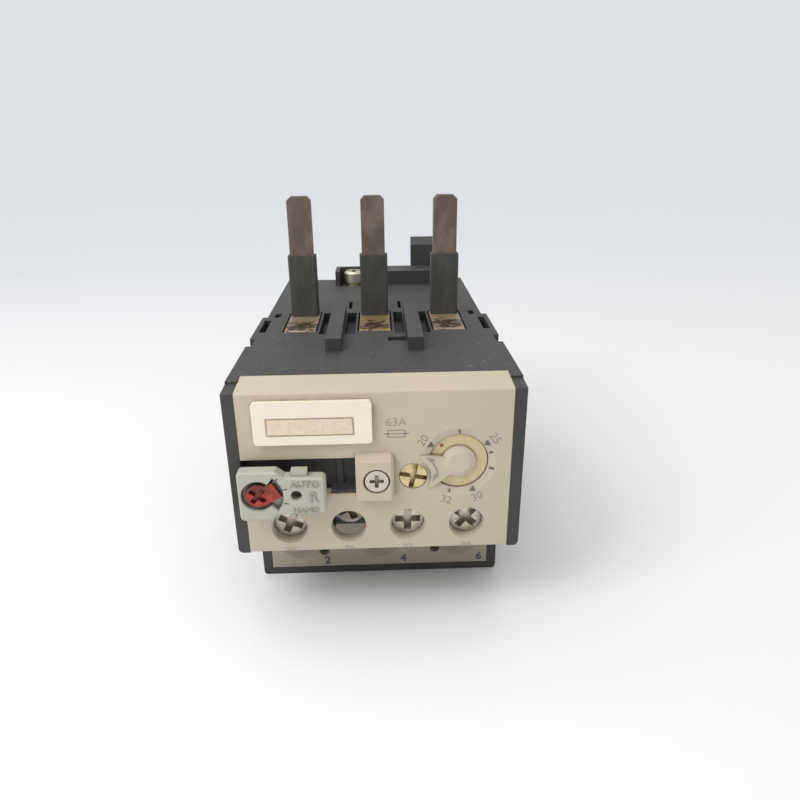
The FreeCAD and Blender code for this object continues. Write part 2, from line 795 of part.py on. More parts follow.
def trip_slider():
    """Bridge across the three strips, with two lugs at each tip and the trip finger."""
    half = pole_pitch + 4.4
    solids = [box(-half, half, slider_front, slider_front + slider_depth, slider_bottom,
                  slider_bottom + slider_height)]
    for x in poles:
        for side in (-1, 1):
            inner = strip_depth / 2 + free_gap
            near = x + side * inner
            far = x + side * (inner + 1.6)
            solids.append(box(min(near, far), max(near, far), slider_front,
                              slider_front + slider_depth, strip_bottom + 1.5, slider_bottom + 0.5))
    left = finger_left()
    right = left + finger_width()
    low = slider_bottom + 0.5
    solids.append(box(left, right, bay_back - 3.6, slider_front + 1, low,
                      slider_bottom + slider_height - 0.5))
    solids.append(box(left, right, compensator_front - 0.4, bay_back - 3.5, low, low + 1.2))
    return joined(solids)


# ---- setting train --------------------------------------------------------------------------------------
def dial_wheel():
    """Setting wheel: read-out ring, gear rim and spiral cam, running on the fixed hub."""
    ring = rod_y(dial_x, dial_z, ring_radius, ring_front, gear_front + 0.2)
    gear = plate_xz(gear_outline(dial_x, dial_z, dial_teeth, train_angle), gear_front,
                    gear_front + gear_depth)
    cam = plate_xz(cam_outline(), gear_front + gear_depth - 0.1,
                   gear_front + gear_depth + cam_depth)
    bore = rod_y(dial_x, dial_z, hub_radius + running_fit, -1, 10)
    return joined([ring, gear, cam]).cut(bore)


def cam_radius(degrees):
    """Cam radius at an angle on the wheel as stored, rising evenly while it is in use."""
    used = (degrees - 90 - dial_low_deg) % 360
    span = dial_high_deg - dial_low_deg
    if used <= span:
        return cam_low + cam_rise * used / span
    return cam_low + cam_rise * (360 - used) / (360 - span)


def cam_outline():
    return [polar(dial_x, dial_z, cam_radius(a), a) for a in range(0, 360, 8)]


def adjuster_screw():
    """Brass adjuster: slotted head, pinion in mesh with the dial wheel, rear journal."""
    head = rod_y(adjuster_x, adjuster_z, adjuster_head_radius, 0.12, gear_front - 0.1)
    pinion = plate_xz(gear_outline(adjuster_x, adjuster_z, pinion_teeth,
                                   train_angle - 180 + 180 / pinion_teeth),
                      gear_front - 0.1, gear_front + gear_depth)
    journal = rod_y(adjuster_x, adjuster_z, 1.1, gear_front + gear_depth - 0.2,
                    gear_front + gear_depth + 2.6)
    slots = cross_slots(adjuster_x, adjuster_z, 0.12, 1.3, 2.7, 0.9)
    turned = Part.makeCompound(slots)
    turned.rotate(V(adjuster_x, 0, adjuster_z), V(0, 1, 0), 12)
    return joined([head, pinion, journal]).cut(turned)


def adjuster_bracket():
    """Bent bracket behind the cover that carries the rear journal of the adjuster."""
    front = gear_front + gear_depth + 0.9
    left, right = adjuster_x - 2.0, adjuster_x + 1.2
    reach = 4.4
    plate = box(left, right, front, front + 1.2, adjuster_z - reach, adjuster_z + reach)
    legs = [box(left, right, cover_depth, front + 0.2,
                adjuster_z + side * reach - (1.2 if side > 0 else 0),
                adjuster_z + side * reach + (0 if side > 0 else 1.2)) for side in (-1, 1)]
    hole = rod_y(adjuster_x, adjuster_z, 1.1 + running_fit, front - 1, front + 3)
    return joined([plate] + legs).cut(hole)


def setting_lever():
    """Lever whose nose rides on the cam of the dial wheel."""
    front = setting_front()
    back = front + setting_depth()
    touch = dial_z + cam_radius(90) + free_gap / 2
    nose = rod_y(dial_x, touch + 0.6, 0.6, front, back)
    arm = plate_xz([(setting_x, setting_z - 1.2), (dial_x - 2.0, touch + 2.2),
                    (dial_x - 0.6, touch + 0.6), (dial_x + 0.6, touch + 0.6),
                    (dial_x + 1.0, touch + 2.8), (setting_x, setting_z + 1.2)], front, back)
    hub = rod_y(setting_x, setting_z, pin_radius * 2.2, front, back)
    return joined([arm, nose, hub]).cut(rod_y(setting_x, setting_z, pin_radius + running_fit,
                                              front - 1, back + 1))


# ---- trip mechanism --------------------------------------------------------------------------------------------
def pivot_pins():
    pins = [rod_y(x, z, pin_radius, back - pin_length + 3.0, back + 3.0) for x, z, back in pivots()]
    return Part.makeCompound(pins)


def compensation_lever():
    """Bell crank between the slider's finger and the rocker."""
    front = compensator_front
    back = front + compensator_depth
    x, z = compensator_x, compensator_z
    low = slider_bottom + 0.2
    arm = plate_xz([(x - 1.2, low), (x + 1.2, low), (x + 1.2, z), (x - 1.2, z)], front, back)
    tip = rocker_z + 1.4 + 2.1
    reach = plate_xz([(x, z - 1.3), (x - 8.2, z - 1.6), (x - 8.8, tip), (x - 10.2, tip),
                      (x - 10.4, z - 0.6), (x, z + 1.3)], front, back)
    hub = rod_y(x, z, pin_radius * 2.2, front, back)
    bore = rod_y(x, z, pin_radius + running_fit, front - 1, back + 1)
    return joined([arm, reach, hub]).cut(bore)


def bridge_bottom(side):
    """Underside of a moving contact bar: closed on the left, open on the right."""
    lift = contact_gap + 0.8 + (contact_travel if side > 0 else 0.0)
    return contact_top() + lift


def trip_rocker():
    """Rocker that lifts the left contact bar as it lowers the right one."""
    front = rocker_front
    back = front + rocker_depth
    beam = box(-aux_pitch - 1.1, aux_pitch + 1.1, front, back, rocker_z - 1.2, rocker_z + 1.4)
    hub = rod_y(0, rocker_z, pin_radius * 2.2, front, back)
    solids = [beam, hub]
    windows = [rod_y(0, rocker_z, pin_radius + running_fit, front - 1, back + 1)]
    for side in (-1, 1):
        low = bridge_bottom(side) - 1.1
        middle = side * aux_pitch
        solids.append(box(middle - 1.1, middle + 1.1, contact_y - 2.6, front + 0.5, low,
                          rocker_z + 1.4))
        windows.append(box(middle - 2, middle + 2, contact_y - 1.9, contact_y + 1.9,
                           bridge_bottom(side) - 0.4, bridge_bottom(side) + 0.9 + 0.4))
    return joined(solids).cut(windows)


def contact_bridge(side):
    """Moving contact bar with a rivet over each fixed contact."""
    low = bridge_bottom(side)
    middle = side * aux_pitch
    half = aux_pitch / 2
    bar = box(middle - half - 1.6, middle + half + 1.6, contact_y - 1.5, contact_y + 1.5,
              low, low + 0.9)
    rivets = [rod_z(middle + end * half, contact_y, 1.3, low - 0.8, low + 0.1) for end in (-1, 1)]
    return joined([bar] + rivets)


# ---- reset and mode selector -------------------------------------------------------------------------------------
def reset_plate():
    """Push plate in front of the window with a stem that reaches through the guide."""
    front = -plate_proud
    back = front + plate_depth
    left, right = selector_x - 3.5, selector_x + 12.15
    low, high = selector_z - 5.1, selector_z + 4.8
    outline = [(left, low), (left + 5.7, low), (left + 6.9, low + 1.1), (right, low + 1.2),
               (right, high - 1.4), (left + 8.4, high - 1.2), (left + 6.8, high), (left, high)]
    plate = plate_xz(outline, front, back)
    plate = rounded(plate, 0.8, V(0, 1, 0), lambda p: p.x < left + 0.1 or p.x > right - 0.1)
    rim = [e for e in plate.Edges if all(abs(v.Y - front) < 0.01 for v in e.Vertexes)]
    plate = plate.makeChamfer(0.35, rim)
    tab = box(right - 6.1, right - 3.2, back - 1.6, back, high - 2.2, high - 0.2)
    stem = box(stem_x - stem_half, stem_x + stem_half, back - 0.5, guide_front + guide_depth + 2.4,
               selector_z - stem_half, selector_z + stem_half)
    sweep = [polar(selector_x, selector_z, pointer_radius + 0.35, sector_low + n * sector_span / 6)
             for n in range(7)]
    sector = plate_xz([(selector_x, selector_z)] + sweep, front - 1, front + 1.2)
    well = rod_y(selector_x, selector_z, selector_radius + 0.75, front - 1, front + 1.2)
    shaft = rod_y(selector_x, selector_z, selector_shaft + running_fit, front - 1, back + 1)
    dot = rod_y(stem_x, selector_z, 1.0, front - 1, front + 2.2)
    return joined([plate, tab, stem]).cut([sector, well, shaft, dot])


def mode_selector():
    """Red selector: head with pointer, shaft, and a cam lug behind the guide."""
    front = -plate_proud + 0.15
    seat = -plate_proud + 1.2 - running_fit
    head = rod_y(selector_x, selector_z, selector_radius, front, seat)
    tip, shoulder_deg = -3, sector_low + sector_span - 7
    pointer = plate_xz([polar(selector_x, selector_z, r, a) for r, a in
                        [(selector_radius, shoulder_deg + 13), (pointer_radius - 0.6, shoulder_deg),
                         (pointer_radius, tip), (selector_radius, tip - 45)]], front, seat)
    lug_y = guide_front + guide_depth + 0.3
    shaft = rod_y(selector_x, selector_z, selector_shaft, seat - 0.1, lug_y + 1.8)
    lug = box(selector_x - 0.8, selector_x + 0.8, lug_y, lug_y + 1.6, selector_z, selector_z + 3.4)
    slots = Part.makeCompound(cross_slots(selector_x, selector_z, front, 0.7, 1.7, 0.9))
    slots.rotate(V(selector_x, 0, selector_z), V(0, 1, 0), 40)
    return joined([head, pointer, shaft, lug]).cut(slots)


def reset_guide():
    """Moulded guide behind the window for the stem and the selector's shaft."""
    left = -bay_half + seat_gap
    right = window_right - 0.2
    rib = -7.0
    sill_left = selector_x + 12.75
    back = guide_front + guide_depth
    low, high = window_bottom - 0.7, window_top + 1.6
    plate = box(left, right, guide_front, back, low, high)
    sill = box(sill_left, right, 0.4, back, window_bottom + 0.05, window_bottom + 0.55)
    feet = [sill, box(left, right, cover_depth, back, high - 1.0, high),
            box(rib - 0.6, rib + 0.6, guide_front - 0.5, back + 2.6, low, high)]
    cuts = [rod_y(selector_x, selector_z, selector_shaft + running_fit, 0, back + 1),
            box(stem_x - stem_half - 0.15, stem_x + stem_half + 0.15, 0, back + 1,
                selector_z - stem_half - 0.15, selector_z + stem_half + 0.15)]
    return joined([plate] + feet).cut(cuts)


def reset_spring():
    """Return spring round the selector's shaft, between plate and guide."""
    start = -plate_proud + plate_depth + 0.1
    height = guide_front - 0.1 - start - 0.5
    turns = 4
    inner, outer = selector_shaft + 0.2, selector_shaft + 0.65
    helix = Part.makeHelix(height / turns, height, (inner + outer) / 2)
    section = Part.makePolygon([V(inner, 0, 0), V(outer, 0, 0), V(outer, 0, 0.45),
                                V(inner, 0, 0.45), V(inner, 0, 0)])
    spring = Part.Wire(helix).makePipeShell([section], True, True)
    spring.rotate(V(0, 0, 0), V(1, 0, 0), -90)
    spring.translate(V(selector_x, start, selector_z))
    return spring


# ---- assembly ----------------------------------------------------------------------------------------------------------
def relay():
    parts = {
        "main_housing": main_housing(),
        "terminal_block": terminal_block(),
        "front_cover": front_cover(),
        "rear_cover": rear_cover(),
        "terminal_cover": terminal_cover(),
        "cover_screw": cover_screw(),
        "marker_plate": marker_plate(),
        "adjuster_bracket": adjuster_bracket(),
        "pivot_pins": pivot_pins(),
        "reset_guide": reset_guide(),
        "link_terminal": link_terminal(),
        "link_washer": link_washer(),
        "link_screw": link_screw(),
        "dial_wheel": dial_wheel(),
        "adjuster_screw": adjuster_screw(),
        "setting_lever": setting_lever(),
        "reset_plate": reset_plate(),
        "mode_selector": mode_selector(),
        "reset_spring": reset_spring(),
        "trip_slider": trip_slider(),
        "compensation_lever": compensation_lever(),
        "trip_rocker": trip_rocker(),
        "nc_bridge": contact_bridge(-1),
        "no_bridge": contact_bridge(1),
    }
    per_pole = {"line_pin": line_pin, "pin_sleeve": pin_sleeve, "load_bar": load_bar,
                "load_lug": load_lug, "load_screw": load_screw, "load_pad": load_pad_plate,
                "bimetal_strip": bimetal_strip, "heater_coil": heater_coil}
    for name, make in per_pole.items():
        for n, x in enumerate(poles):
            parts[f"{name}_{n + 1}"] = make(x)
    per_terminal = {"aux_terminal": aux_terminal, "aux_screw": aux_screw, "aux_clamp": aux_clamp}
    for name, make in per_terminal.items():
        for n in range(len(aux_places)):
            parts[f"{name}_{n + 1}"] = make(n)
    return parts


os.makedirs("parts", exist_ok=True)
to_centre = V(0, -(case_depth + hook_depth - plate_proud) / 2, 0)
for node, shape in relay().items():
    shape.translate(to_centre)
    shape.exportStep(os.path.join("parts", node + ".step"))
    solids = len(shape.Solids)
    print(f"{node}: {solids} solid(s), valid {shape.isValid()}, {shape.Volume:.1f} mm3")
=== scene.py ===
import json
import math

import bmesh
import bpy
from bpy.props import FloatProperty, FloatVectorProperty, PointerProperty
from mathutils import Matrix, Vector


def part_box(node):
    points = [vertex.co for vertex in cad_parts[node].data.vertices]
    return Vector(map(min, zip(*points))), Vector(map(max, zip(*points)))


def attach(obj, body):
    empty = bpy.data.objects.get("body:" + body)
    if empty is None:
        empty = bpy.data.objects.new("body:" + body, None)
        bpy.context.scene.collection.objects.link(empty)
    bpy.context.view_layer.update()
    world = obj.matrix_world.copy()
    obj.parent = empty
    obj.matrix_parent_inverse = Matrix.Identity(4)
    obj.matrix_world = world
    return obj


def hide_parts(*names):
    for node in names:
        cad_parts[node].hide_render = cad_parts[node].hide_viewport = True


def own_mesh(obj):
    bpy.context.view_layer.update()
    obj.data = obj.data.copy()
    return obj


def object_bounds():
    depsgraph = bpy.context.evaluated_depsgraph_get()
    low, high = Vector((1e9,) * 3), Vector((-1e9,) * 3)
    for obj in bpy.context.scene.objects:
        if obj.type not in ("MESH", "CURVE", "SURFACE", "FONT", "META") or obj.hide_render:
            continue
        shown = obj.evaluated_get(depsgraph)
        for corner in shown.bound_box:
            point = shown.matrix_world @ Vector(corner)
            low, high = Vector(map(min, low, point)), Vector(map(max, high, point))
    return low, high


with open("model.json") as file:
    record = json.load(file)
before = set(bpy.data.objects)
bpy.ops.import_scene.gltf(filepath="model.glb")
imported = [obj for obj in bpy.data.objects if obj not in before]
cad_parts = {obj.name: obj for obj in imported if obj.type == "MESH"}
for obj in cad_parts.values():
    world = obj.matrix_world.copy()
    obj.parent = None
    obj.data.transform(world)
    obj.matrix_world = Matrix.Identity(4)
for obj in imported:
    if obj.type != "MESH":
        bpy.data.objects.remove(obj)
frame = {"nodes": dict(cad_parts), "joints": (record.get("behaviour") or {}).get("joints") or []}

# Finishes, printed marks and studio for a three-pole thermal overload relay.
# Everything is in metres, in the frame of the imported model: x across the front,
# y from the front to the back, z up.

bl_info = {
    "name": "Overload relay dressing",
    "version": (1, 0, 0),
    "blender": (4, 5, 0),
    "location": "3D View > Sidebar > Relay",
    "description": "Dresses a packed overload relay with its finishes, printed marks and studio",
    "category": "Object",
}

MM = 0.001
CAD_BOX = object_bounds()

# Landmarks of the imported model.
HINGES = {joint["name"]: Vector(joint["pos_m"])
          for joint in frame["joints"] if "pos_m" in joint}
PRESS_TRAVEL = next(joint["range_m"][1] for joint in frame["joints"]
                    if joint["name"] == "reset_press")
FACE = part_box("main_housing")[0].y
CASE_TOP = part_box("front_cover")[1].z
DIAL = HINGES["dial_turn"]
ADJUSTER = HINGES["adjuster_turn"]
SELECTOR = HINGES["mode_turn"]
POLES = [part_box(f"load_bar_{n}") for n in (1, 2, 3)]
AUX_SCREWS = [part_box(f"aux_screw_{n}") for n in (1, 2, 3, 4)]

# Sizes below are in millimetres. Angles are in degrees, anticlockwise from the right, as
# seen from the front.

# Moulded places that carry a finish or a mark.
HUB_RADIUS = 3.15         # fixed hub in the middle of the dial
RING_DEPTH = 0.75         # dial ring behind the face
BRIDGE_RISE = 0.12        # fishtail bridge in front of the face
FIELD_SIDE = 2.45         # edge of the marker plate to its blank field
FIELD_BOTTOM = 1.95
FIELD_HEIGHT = 3.15
FIELD_SHORT = 0.9         # how much sooner the field ends on the right
FOOT_TOP = 0.2            # tinned foot above the lower end of the sleeve
STAIN_PLACE = 4.4         # middle of the stain behind the front edge of the foot

# Current scale round the dial: text, angle and turn; angle; angle and length.
NUMERAL_RING = 8.1
NUMERALS = (("20", 145.3, 57.7), ("25", 35.8, -55.0), ("30", -64.0, 25.0),
            ("32", -105.8, -16.0))
POINTER_RING = 6.35
POINTER_SIZE = 0.72
POINTERS = (145.3, 35.8, -65.0)
TICK_RING = 5.75
TICK_WIDTH = 0.3
TICKS = ((90.0, 0.9), (17.2, 0.7), (-13.4, 1.0), (-105.8, 0.8))
DOT_RING = 4.5
DOT_ANGLE = 135.0
DOT_RADIUS = 0.37

# Arrow beside the adjuster; each head has its distance, its angle and its turn.
ARROW_RING = 4.45
ARROW_WIDTH = 0.42
ARROW_START = 2.0
ARROW_SWEEP = 34.0
ARROW_HEADS = ((4.01, -4.3, 153.6), (4.63, 45.4, 60.0))
HEAD_SIZE = 0.62
HEAD_STRETCH = 1.8

# Numbers of the load terminals and of the contacts.
NUMBER_SIDE = 5.2         # to the right of the pole
NUMBER_UP = 3.3           # above the standing face
CONTACT_UP = 16.9
CONTACT_STRETCH = 1.3

# Fuse rating with its symbol below it.
RATING_RIGHT = 3.65       # to the right of the middle
RATING_DOWN = 6.7         # below the top of the cover
FUSE_DOWN = 2.3           # below the rating
FUSE_WIDTH = 3.1
FUSE_HEIGHT = 1.35
FUSE_LINE = 0.2
FUSE_LEADS = 1.5          # both leads together

# Push plate, from the selector's axis: text, right, up and size; angle, near and far end.
PLATE_WORDS = (("AUTO", 8.45, 2.3, 1.0), ("R", 10.13, -0.3, 1.55), ("HAND", 8.5, -3.0, 0.84))
PLATE_TICKS = ((43.0, 4.0, 5.2), (15.0, 4.5, 5.6), (-17.0, 4.8, 5.7))
PLATE_TICK_WIDTH = 0.28

# Return spring.
SPRING_WIRE = 0.2         # half its thickness
SPRING_GAP = 0.05         # how far the wire stays inside the solid it stands for
SPRING_TURNS = 4

# Studio: places in metres, colours as linear light.
# Painted shade on the floor grows between these distances towards the back, in millimetres.
FLOOR_FADE = (60.0, 420.0)
FILL_COLOUR = (1.0, 0.99, 0.975, 1.0)
BACKDROP = (0.725, 0.745, 0.775, 1.0)
SUN_DIRECTION = (0.16, -0.02, -1.0)
LAMP_PLACE = (-0.2, -0.17, 0.26)
LAMP_SIZE = 0.16
VIEW_RANGE = (0.005, 20.0)


def shade(red, green, blue):
    """Display values from 0 to 255 as a linear colour."""
    parts = [channel / 255 for channel in (red, green, blue)]
    return tuple(p / 12.92 if p <= 0.04045 else ((p + 0.055) / 1.055) ** 2.4 for p in parts)


# ---- what a user can change -------------------------------------------------------------


def colour(name, description, red, green, blue):
    return FloatVectorProperty(name=name, description=description, subtype="COLOR", size=3,
                               min=0.0, max=1.0, default=shade(red, green, blue))


def length(name, description, millimetres):
    return FloatProperty(name=name, description=description, unit="LENGTH",
                         precision=5, default=millimetres * MM)


class RelayColours(bpy.types.PropertyGroup):
    """Colours of the relay's plastics, metals and inks."""

    housing: colour("Housing", "Black moulded housing", 58, 57, 56)
    cover: colour("Cover", "Beige front and terminal covers", 194, 183, 163)
    marker: colour("Marker", "Cream marker plate", 240, 232, 212)
    marker_field: colour("Marker field", "Blank field of the marker plate", 226, 212, 188)
    reset: colour("Reset plate", "Grey push plate", 181, 180, 168)
    selector: colour("Selector", "Red mode selector", 156, 48, 30)
    dial: colour("Dial ring", "Yellowed ring of the setting dial", 202, 188, 148)
    brass: colour("Brass", "Brass of the adjuster and the bars", 216, 200, 156)
    steel: colour("Steel", "Plated screws and clamps", 214, 206, 190)
    pin: colour("Pin", "Oxidised copper of the line pins", 114, 104, 96)
    tin: colour("Tin", "Tinned foot of the line pins", 160, 142, 120)
    sleeve: colour("Sleeve", "Shrunk sleeve on the pins", 66, 65, 62)
    ink: colour("Grey ink", "Worn grey print of the scale", 128, 124, 118)
    number_ink: colour("Blue ink", "Print of the terminal numbers", 62, 64, 88)
    dot: colour("Red dot", "Red dot of the dial ring", 160, 74, 38)
    floor: colour("Floor", "Pale studio floor", 239, 240, 242)


class RelayMarks(bpy.types.PropertyGroup):
    """Sizes of the printed and raised marks."""

    numeral: length("Scale numeral", "Height of the current numerals", 1.55)
    rating: length("Fuse rating", "Height of the rating figures", 1.55)
    terminal: length("Terminal number", "Height of the terminal numbers", 2.0)
    contact: length("Contact number", "Height of the contact numbers", 1.1)
    raised: length("Raised word", "Height of the raised words on the push plate", 1.35)
    print_depth: length("Print depth", "Thickness of a printed mark", 0.04)
    emboss: length("Emboss", "Height of the raised letters over the plate", 0.14)


class RelayStage(bpy.types.PropertyGroup):
    """Camera and studio light."""

    camera_place: FloatVectorProperty(
        name="Camera place", description="Where the camera stands", subtype="TRANSLATION",
        unit="LENGTH", size=3, precision=5, default=(1.03 * MM, -151.22 * MM, 91.47 * MM))
    camera_pitch: FloatProperty(
        name="Pitch", description="How far the camera looks down", unit="ROTATION",
        default=math.radians(22.44))
    camera_yaw: FloatProperty(
        name="Yaw", description="Turn of the camera to the left", unit="ROTATION",
        default=math.radians(-1.79))
    camera_roll: FloatProperty(
        name="Roll", description="Tilt of the camera about its own axis", unit="ROTATION",
        default=math.radians(-0.63))
    lens: FloatProperty(name="Lens", description="Focal length on a 36 mm sensor",
                        unit="CAMERA", default=29.43)
    floor_radius: FloatProperty(name="Floor radius", description="Reach of the floor",
                                unit="LENGTH", default=4.0)
    sky: FloatProperty(name="Fill light", description="Strength of the light from all sides",
                       min=0.0, default=0.55)
    lamp: FloatProperty(name="Lamp", description="Power of the soft lamp at the front left",
                        unit="POWER", min=0.0, default=0.48)
    sun: FloatProperty(name="Main light", description="Strength of the wide light overhead",
                       min=0.0, default=1.2)
    sun_width: FloatProperty(name="Width of the main light", description="Softens the shadows",
                             unit="ROTATION", default=math.radians(70))


# ---- shader nodes as arithmetic ---------------------------------------------------------


class Wire:
    """The output of a shader node, usable in ordinary arithmetic."""

    def __init__(self, nodes, socket):
        self.nodes = nodes
        self.socket = socket

    def maths(self, operation, left, right):
        return self.nodes.node("ShaderNodeMath", {"operation": operation}, {0: left, 1: right})

    def __add__(self, other):
        return self.maths("ADD", self, other)

    __radd__ = __add__

    def __sub__(self, other):
        return self.maths("SUBTRACT", self, other)

    def __rsub__(self, other):
        return self.maths("SUBTRACT", other, self)

    def __mul__(self, other):
        return self.maths("MULTIPLY", self, other)

    __rmul__ = __mul__

    def capped(self):
        """No more than one."""
        return self.maths("MINIMUM", self, 1.0)

    def __lt__(self, other):
        return self.maths("LESS_THAN", self, other)

    def __gt__(self, other):
        return self.maths("GREATER_THAN", self, other)


class Nodes:
    """The node tree of one material or world, cleared and ready to be filled."""

    def __init__(self, owner):
        owner.use_nodes = True
        self.tree = owner.node_tree
        self.tree.nodes.clear()

    def node(self, kind, settings=None, inputs=None, out=0):
        """Adds a node: its settings first, then the values or links of its sockets."""
        made = self.tree.nodes.new(kind)
        for key, value in (settings or {}).items():
            setattr(made, key, value)
        self.join(made, inputs or {})
        return Wire(self, made.outputs[out]) if made.outputs else None

    def join(self, made, inputs):
        """Links or sets the sockets of a node."""
        for key, value in inputs.items():
            if isinstance(value, Wire):
                self.tree.links.new(value.socket, made.inputs[key])
            else:
                made.inputs[key].default_value = value


class Finish(Nodes):
    """One procedural material, with the places and patterns that the recipes share."""

    def __init__(self, name, metallic=0.0, coat=0.0, ior=1.46):
        self.material = bpy.data.materials.new(name)
        super().__init__(self.material)
        surface = self.node("ShaderNodeBsdfPrincipled", None,
                            {"Metallic": metallic, "Coat Weight": coat, "IOR": ior})
        self.surface = surface.socket.node
        self.node("ShaderNodeOutputMaterial", None, {"Surface": surface})
        object_place = self.node("ShaderNodeTexCoord", out="Object")
        self.place = self.node("ShaderNodeMapping", {"vector_type": "POINT"},
                               {"Vector": object_place, "Scale": (1 / MM, 1 / MM, 1 / MM)})
        self.facing = self.node("ShaderNodeNewGeometry", out="Normal")

    def feed(self, **sockets):
        """Feeds the surface shader; underscores in a name stand for spaces."""
        self.join(self.surface, {key.replace("_", " "): v for key, v in sockets.items()})
        return self

    def noise(self, per_mm, detail=2.0, roughness=0.5, stretch=None):
        """Soft noise from 0 to 1 with a number of waves in each millimetre."""
        place = self.place
        if stretch:
            place = self.node("ShaderNodeMapping", {"vector_type": "POINT"},
                              {"Vector": place, "Scale": stretch})
        return self.node("ShaderNodeTexNoise", {"noise_dimensions": "3D"},
                         {"Vector": place, "Scale": per_mm, "Detail": detail,
                          "Roughness": roughness})

    def cells(self, per_mm):
        """Distance to the middle of scattered cells."""
        return self.node("ShaderNodeTexVoronoi", {"feature": "F1"},
                         {"Vector": self.place, "Scale": per_mm, "Randomness": 1.0},
                         out="Distance")

    def ramp(self, value, low, high, smooth=True):
        """0 below low, 1 above high; the two may be given the other way round."""
        kind = "SMOOTHSTEP" if smooth else "LINEAR"
        return self.node("ShaderNodeMapRange", {"interpolation_type": kind, "clamp": True},
                         {"Value": value, "From Min": low, "From Max": high})

    def mix(self, factor, first, second):
        """Colour from first to second."""
        def full(value):
            return value if isinstance(value, Wire) else (*value[:3], 1.0)
        return self.node("ShaderNodeMix", {"data_type": "RGBA", "blend_type": "MIX"},
                         {0: factor, 6: full(first), 7: full(second)}, out=2)

    def part_of(self, wire, axis):
        """One component of a place or direction."""
        return self.node("ShaderNodeSeparateXYZ", None, {0: wire}, out=axis)

    def rounded(self, radius_mm, samples=4):
        """Surface direction with sharp edges rounded by a small radius."""
        return self.node("ShaderNodeBevel", {"samples": samples}, {"Radius": radius_mm * MM})

    def edges(self, radius_mm, gain):
        """1 on edges and corners, 0 on flat faces."""
        agree = self.node("ShaderNodeVectorMath", {"operation": "DOT_PRODUCT"},
                          {0: self.rounded(radius_mm, 6), 1: self.facing}, out="Value")
        return self.ramp(1 - agree, 0.0, 1 / gain, smooth=False)

    def relief(self, height, depth_mm, normal):
        """Surface direction with a height pattern pressed into it."""
        return self.node("ShaderNodeBump", {"invert": False},
                         {"Strength": 1.0, "Distance": depth_mm * MM, "Height": height,
                          "Normal": normal})

    def crevices(self, reach_mm, low, high):
        """1 deep in corners and crevices, where shade falls, 0 in the open."""
        light = self.node("ShaderNodeAmbientOcclusion", {"samples": 8},
                          {"Distance": reach_mm * MM}, out="AO")
        return 1 - self.ramp(light, low, high)


# ---- finishes ---------------------------------------------------------------------------


def dark(base, share):
    return tuple(channel * share for channel in base)


def toward(base, other, share):
    return tuple(a + (b - a) * share for a, b in zip(base, other))


def black_moulding(name, base, dusty=True):
    """Glass-filled black plastic: fine grain, handled edges, dust on what faces up."""
    finish = Finish(name)
    grain = finish.noise(5.0, detail=3.0, roughness=0.7)
    clouds = finish.noise(0.12, detail=3.0)
    tone = finish.mix(finish.ramp(clouds, 0.3, 0.75), dark(base, 0.86), dark(base, 1.12))
    tone = finish.mix(finish.ramp(grain, 0.35, 0.75) * 0.3, tone, dark(base, 1.6))
    worn = finish.edges(0.25, 3.0) * finish.ramp(finish.noise(0.9), 0.35, 0.65)
    tone = finish.mix(worn * 0.35, tone, dark(base, 2.3))
    if dusty:
        upward = finish.ramp(finish.part_of(finish.facing, "Z"), 0.5, 0.95)
        specks = finish.ramp(finish.cells(0.5), 0.08, 0.045)
        scatter = finish.ramp(finish.noise(0.25, detail=1.0), 0.5, 0.6)
        film = finish.ramp(finish.noise(1.1, detail=5.0, roughness=0.7), 0.45, 0.8)
        tone = finish.mix(upward * film * 0.12, tone, shade(176, 172, 164))
        tone = finish.mix(upward * specks * scatter * 0.7, tone, shade(214, 210, 202))
    normal = finish.relief(grain, 0.02, finish.rounded(0.18))
    return finish.feed(Base_Color=tone, Roughness=0.52 + 0.14 * grain, Normal=normal)


def beige_moulding(name, base, hub=None):
    """Smooth beige plastic, a little yellowed, with dirt and painted shade in its corners; a hub
    is paler.
    """
    finish = Finish(name)
    grain = finish.noise(3.2, detail=2.0)
    clouds = finish.noise(0.07, detail=3.0)
    tone = finish.mix(finish.ramp(clouds, 0.3, 0.7), toward(base, shade(186, 177, 161), 0.5),
                      toward(base, shade(198, 185, 162), 0.45))
    tone = finish.mix(finish.ramp(grain, 0.3, 0.8) * 0.14, tone, dark(base, 0.84))
    # Dirt and painted shade: patchy dark brown in corners and crevices.
    shade_and_dirt = finish.crevices(1.4, 0.35, 0.92)
    patches = finish.ramp(finish.noise(0.45, detail=4.0), 0.3, 0.7)
    tone = finish.mix(shade_and_dirt * (0.25 + 0.4 * patches), tone, shade(96, 86, 70))
    specks = finish.ramp(finish.cells(0.5), 0.06, 0.03) * finish.ramp(finish.noise(0.3), 0.55, 0.7)
    tone = finish.mix(specks * 0.5, tone, shade(120, 106, 84))
    if hub:
        across = finish.part_of(finish.place, "X") - hub.x / MM
        up = finish.part_of(finish.place, "Z") - hub.z / MM
        inside = across * across + up * up < HUB_RADIUS ** 2
        tone = finish.mix(inside * 0.12, tone, shade(216, 206, 190))
    normal = finish.relief(grain, 0.012, finish.rounded(0.3))
    return finish.feed(Base_Color=tone, Roughness=0.44 + 0.1 * clouds, Normal=normal)


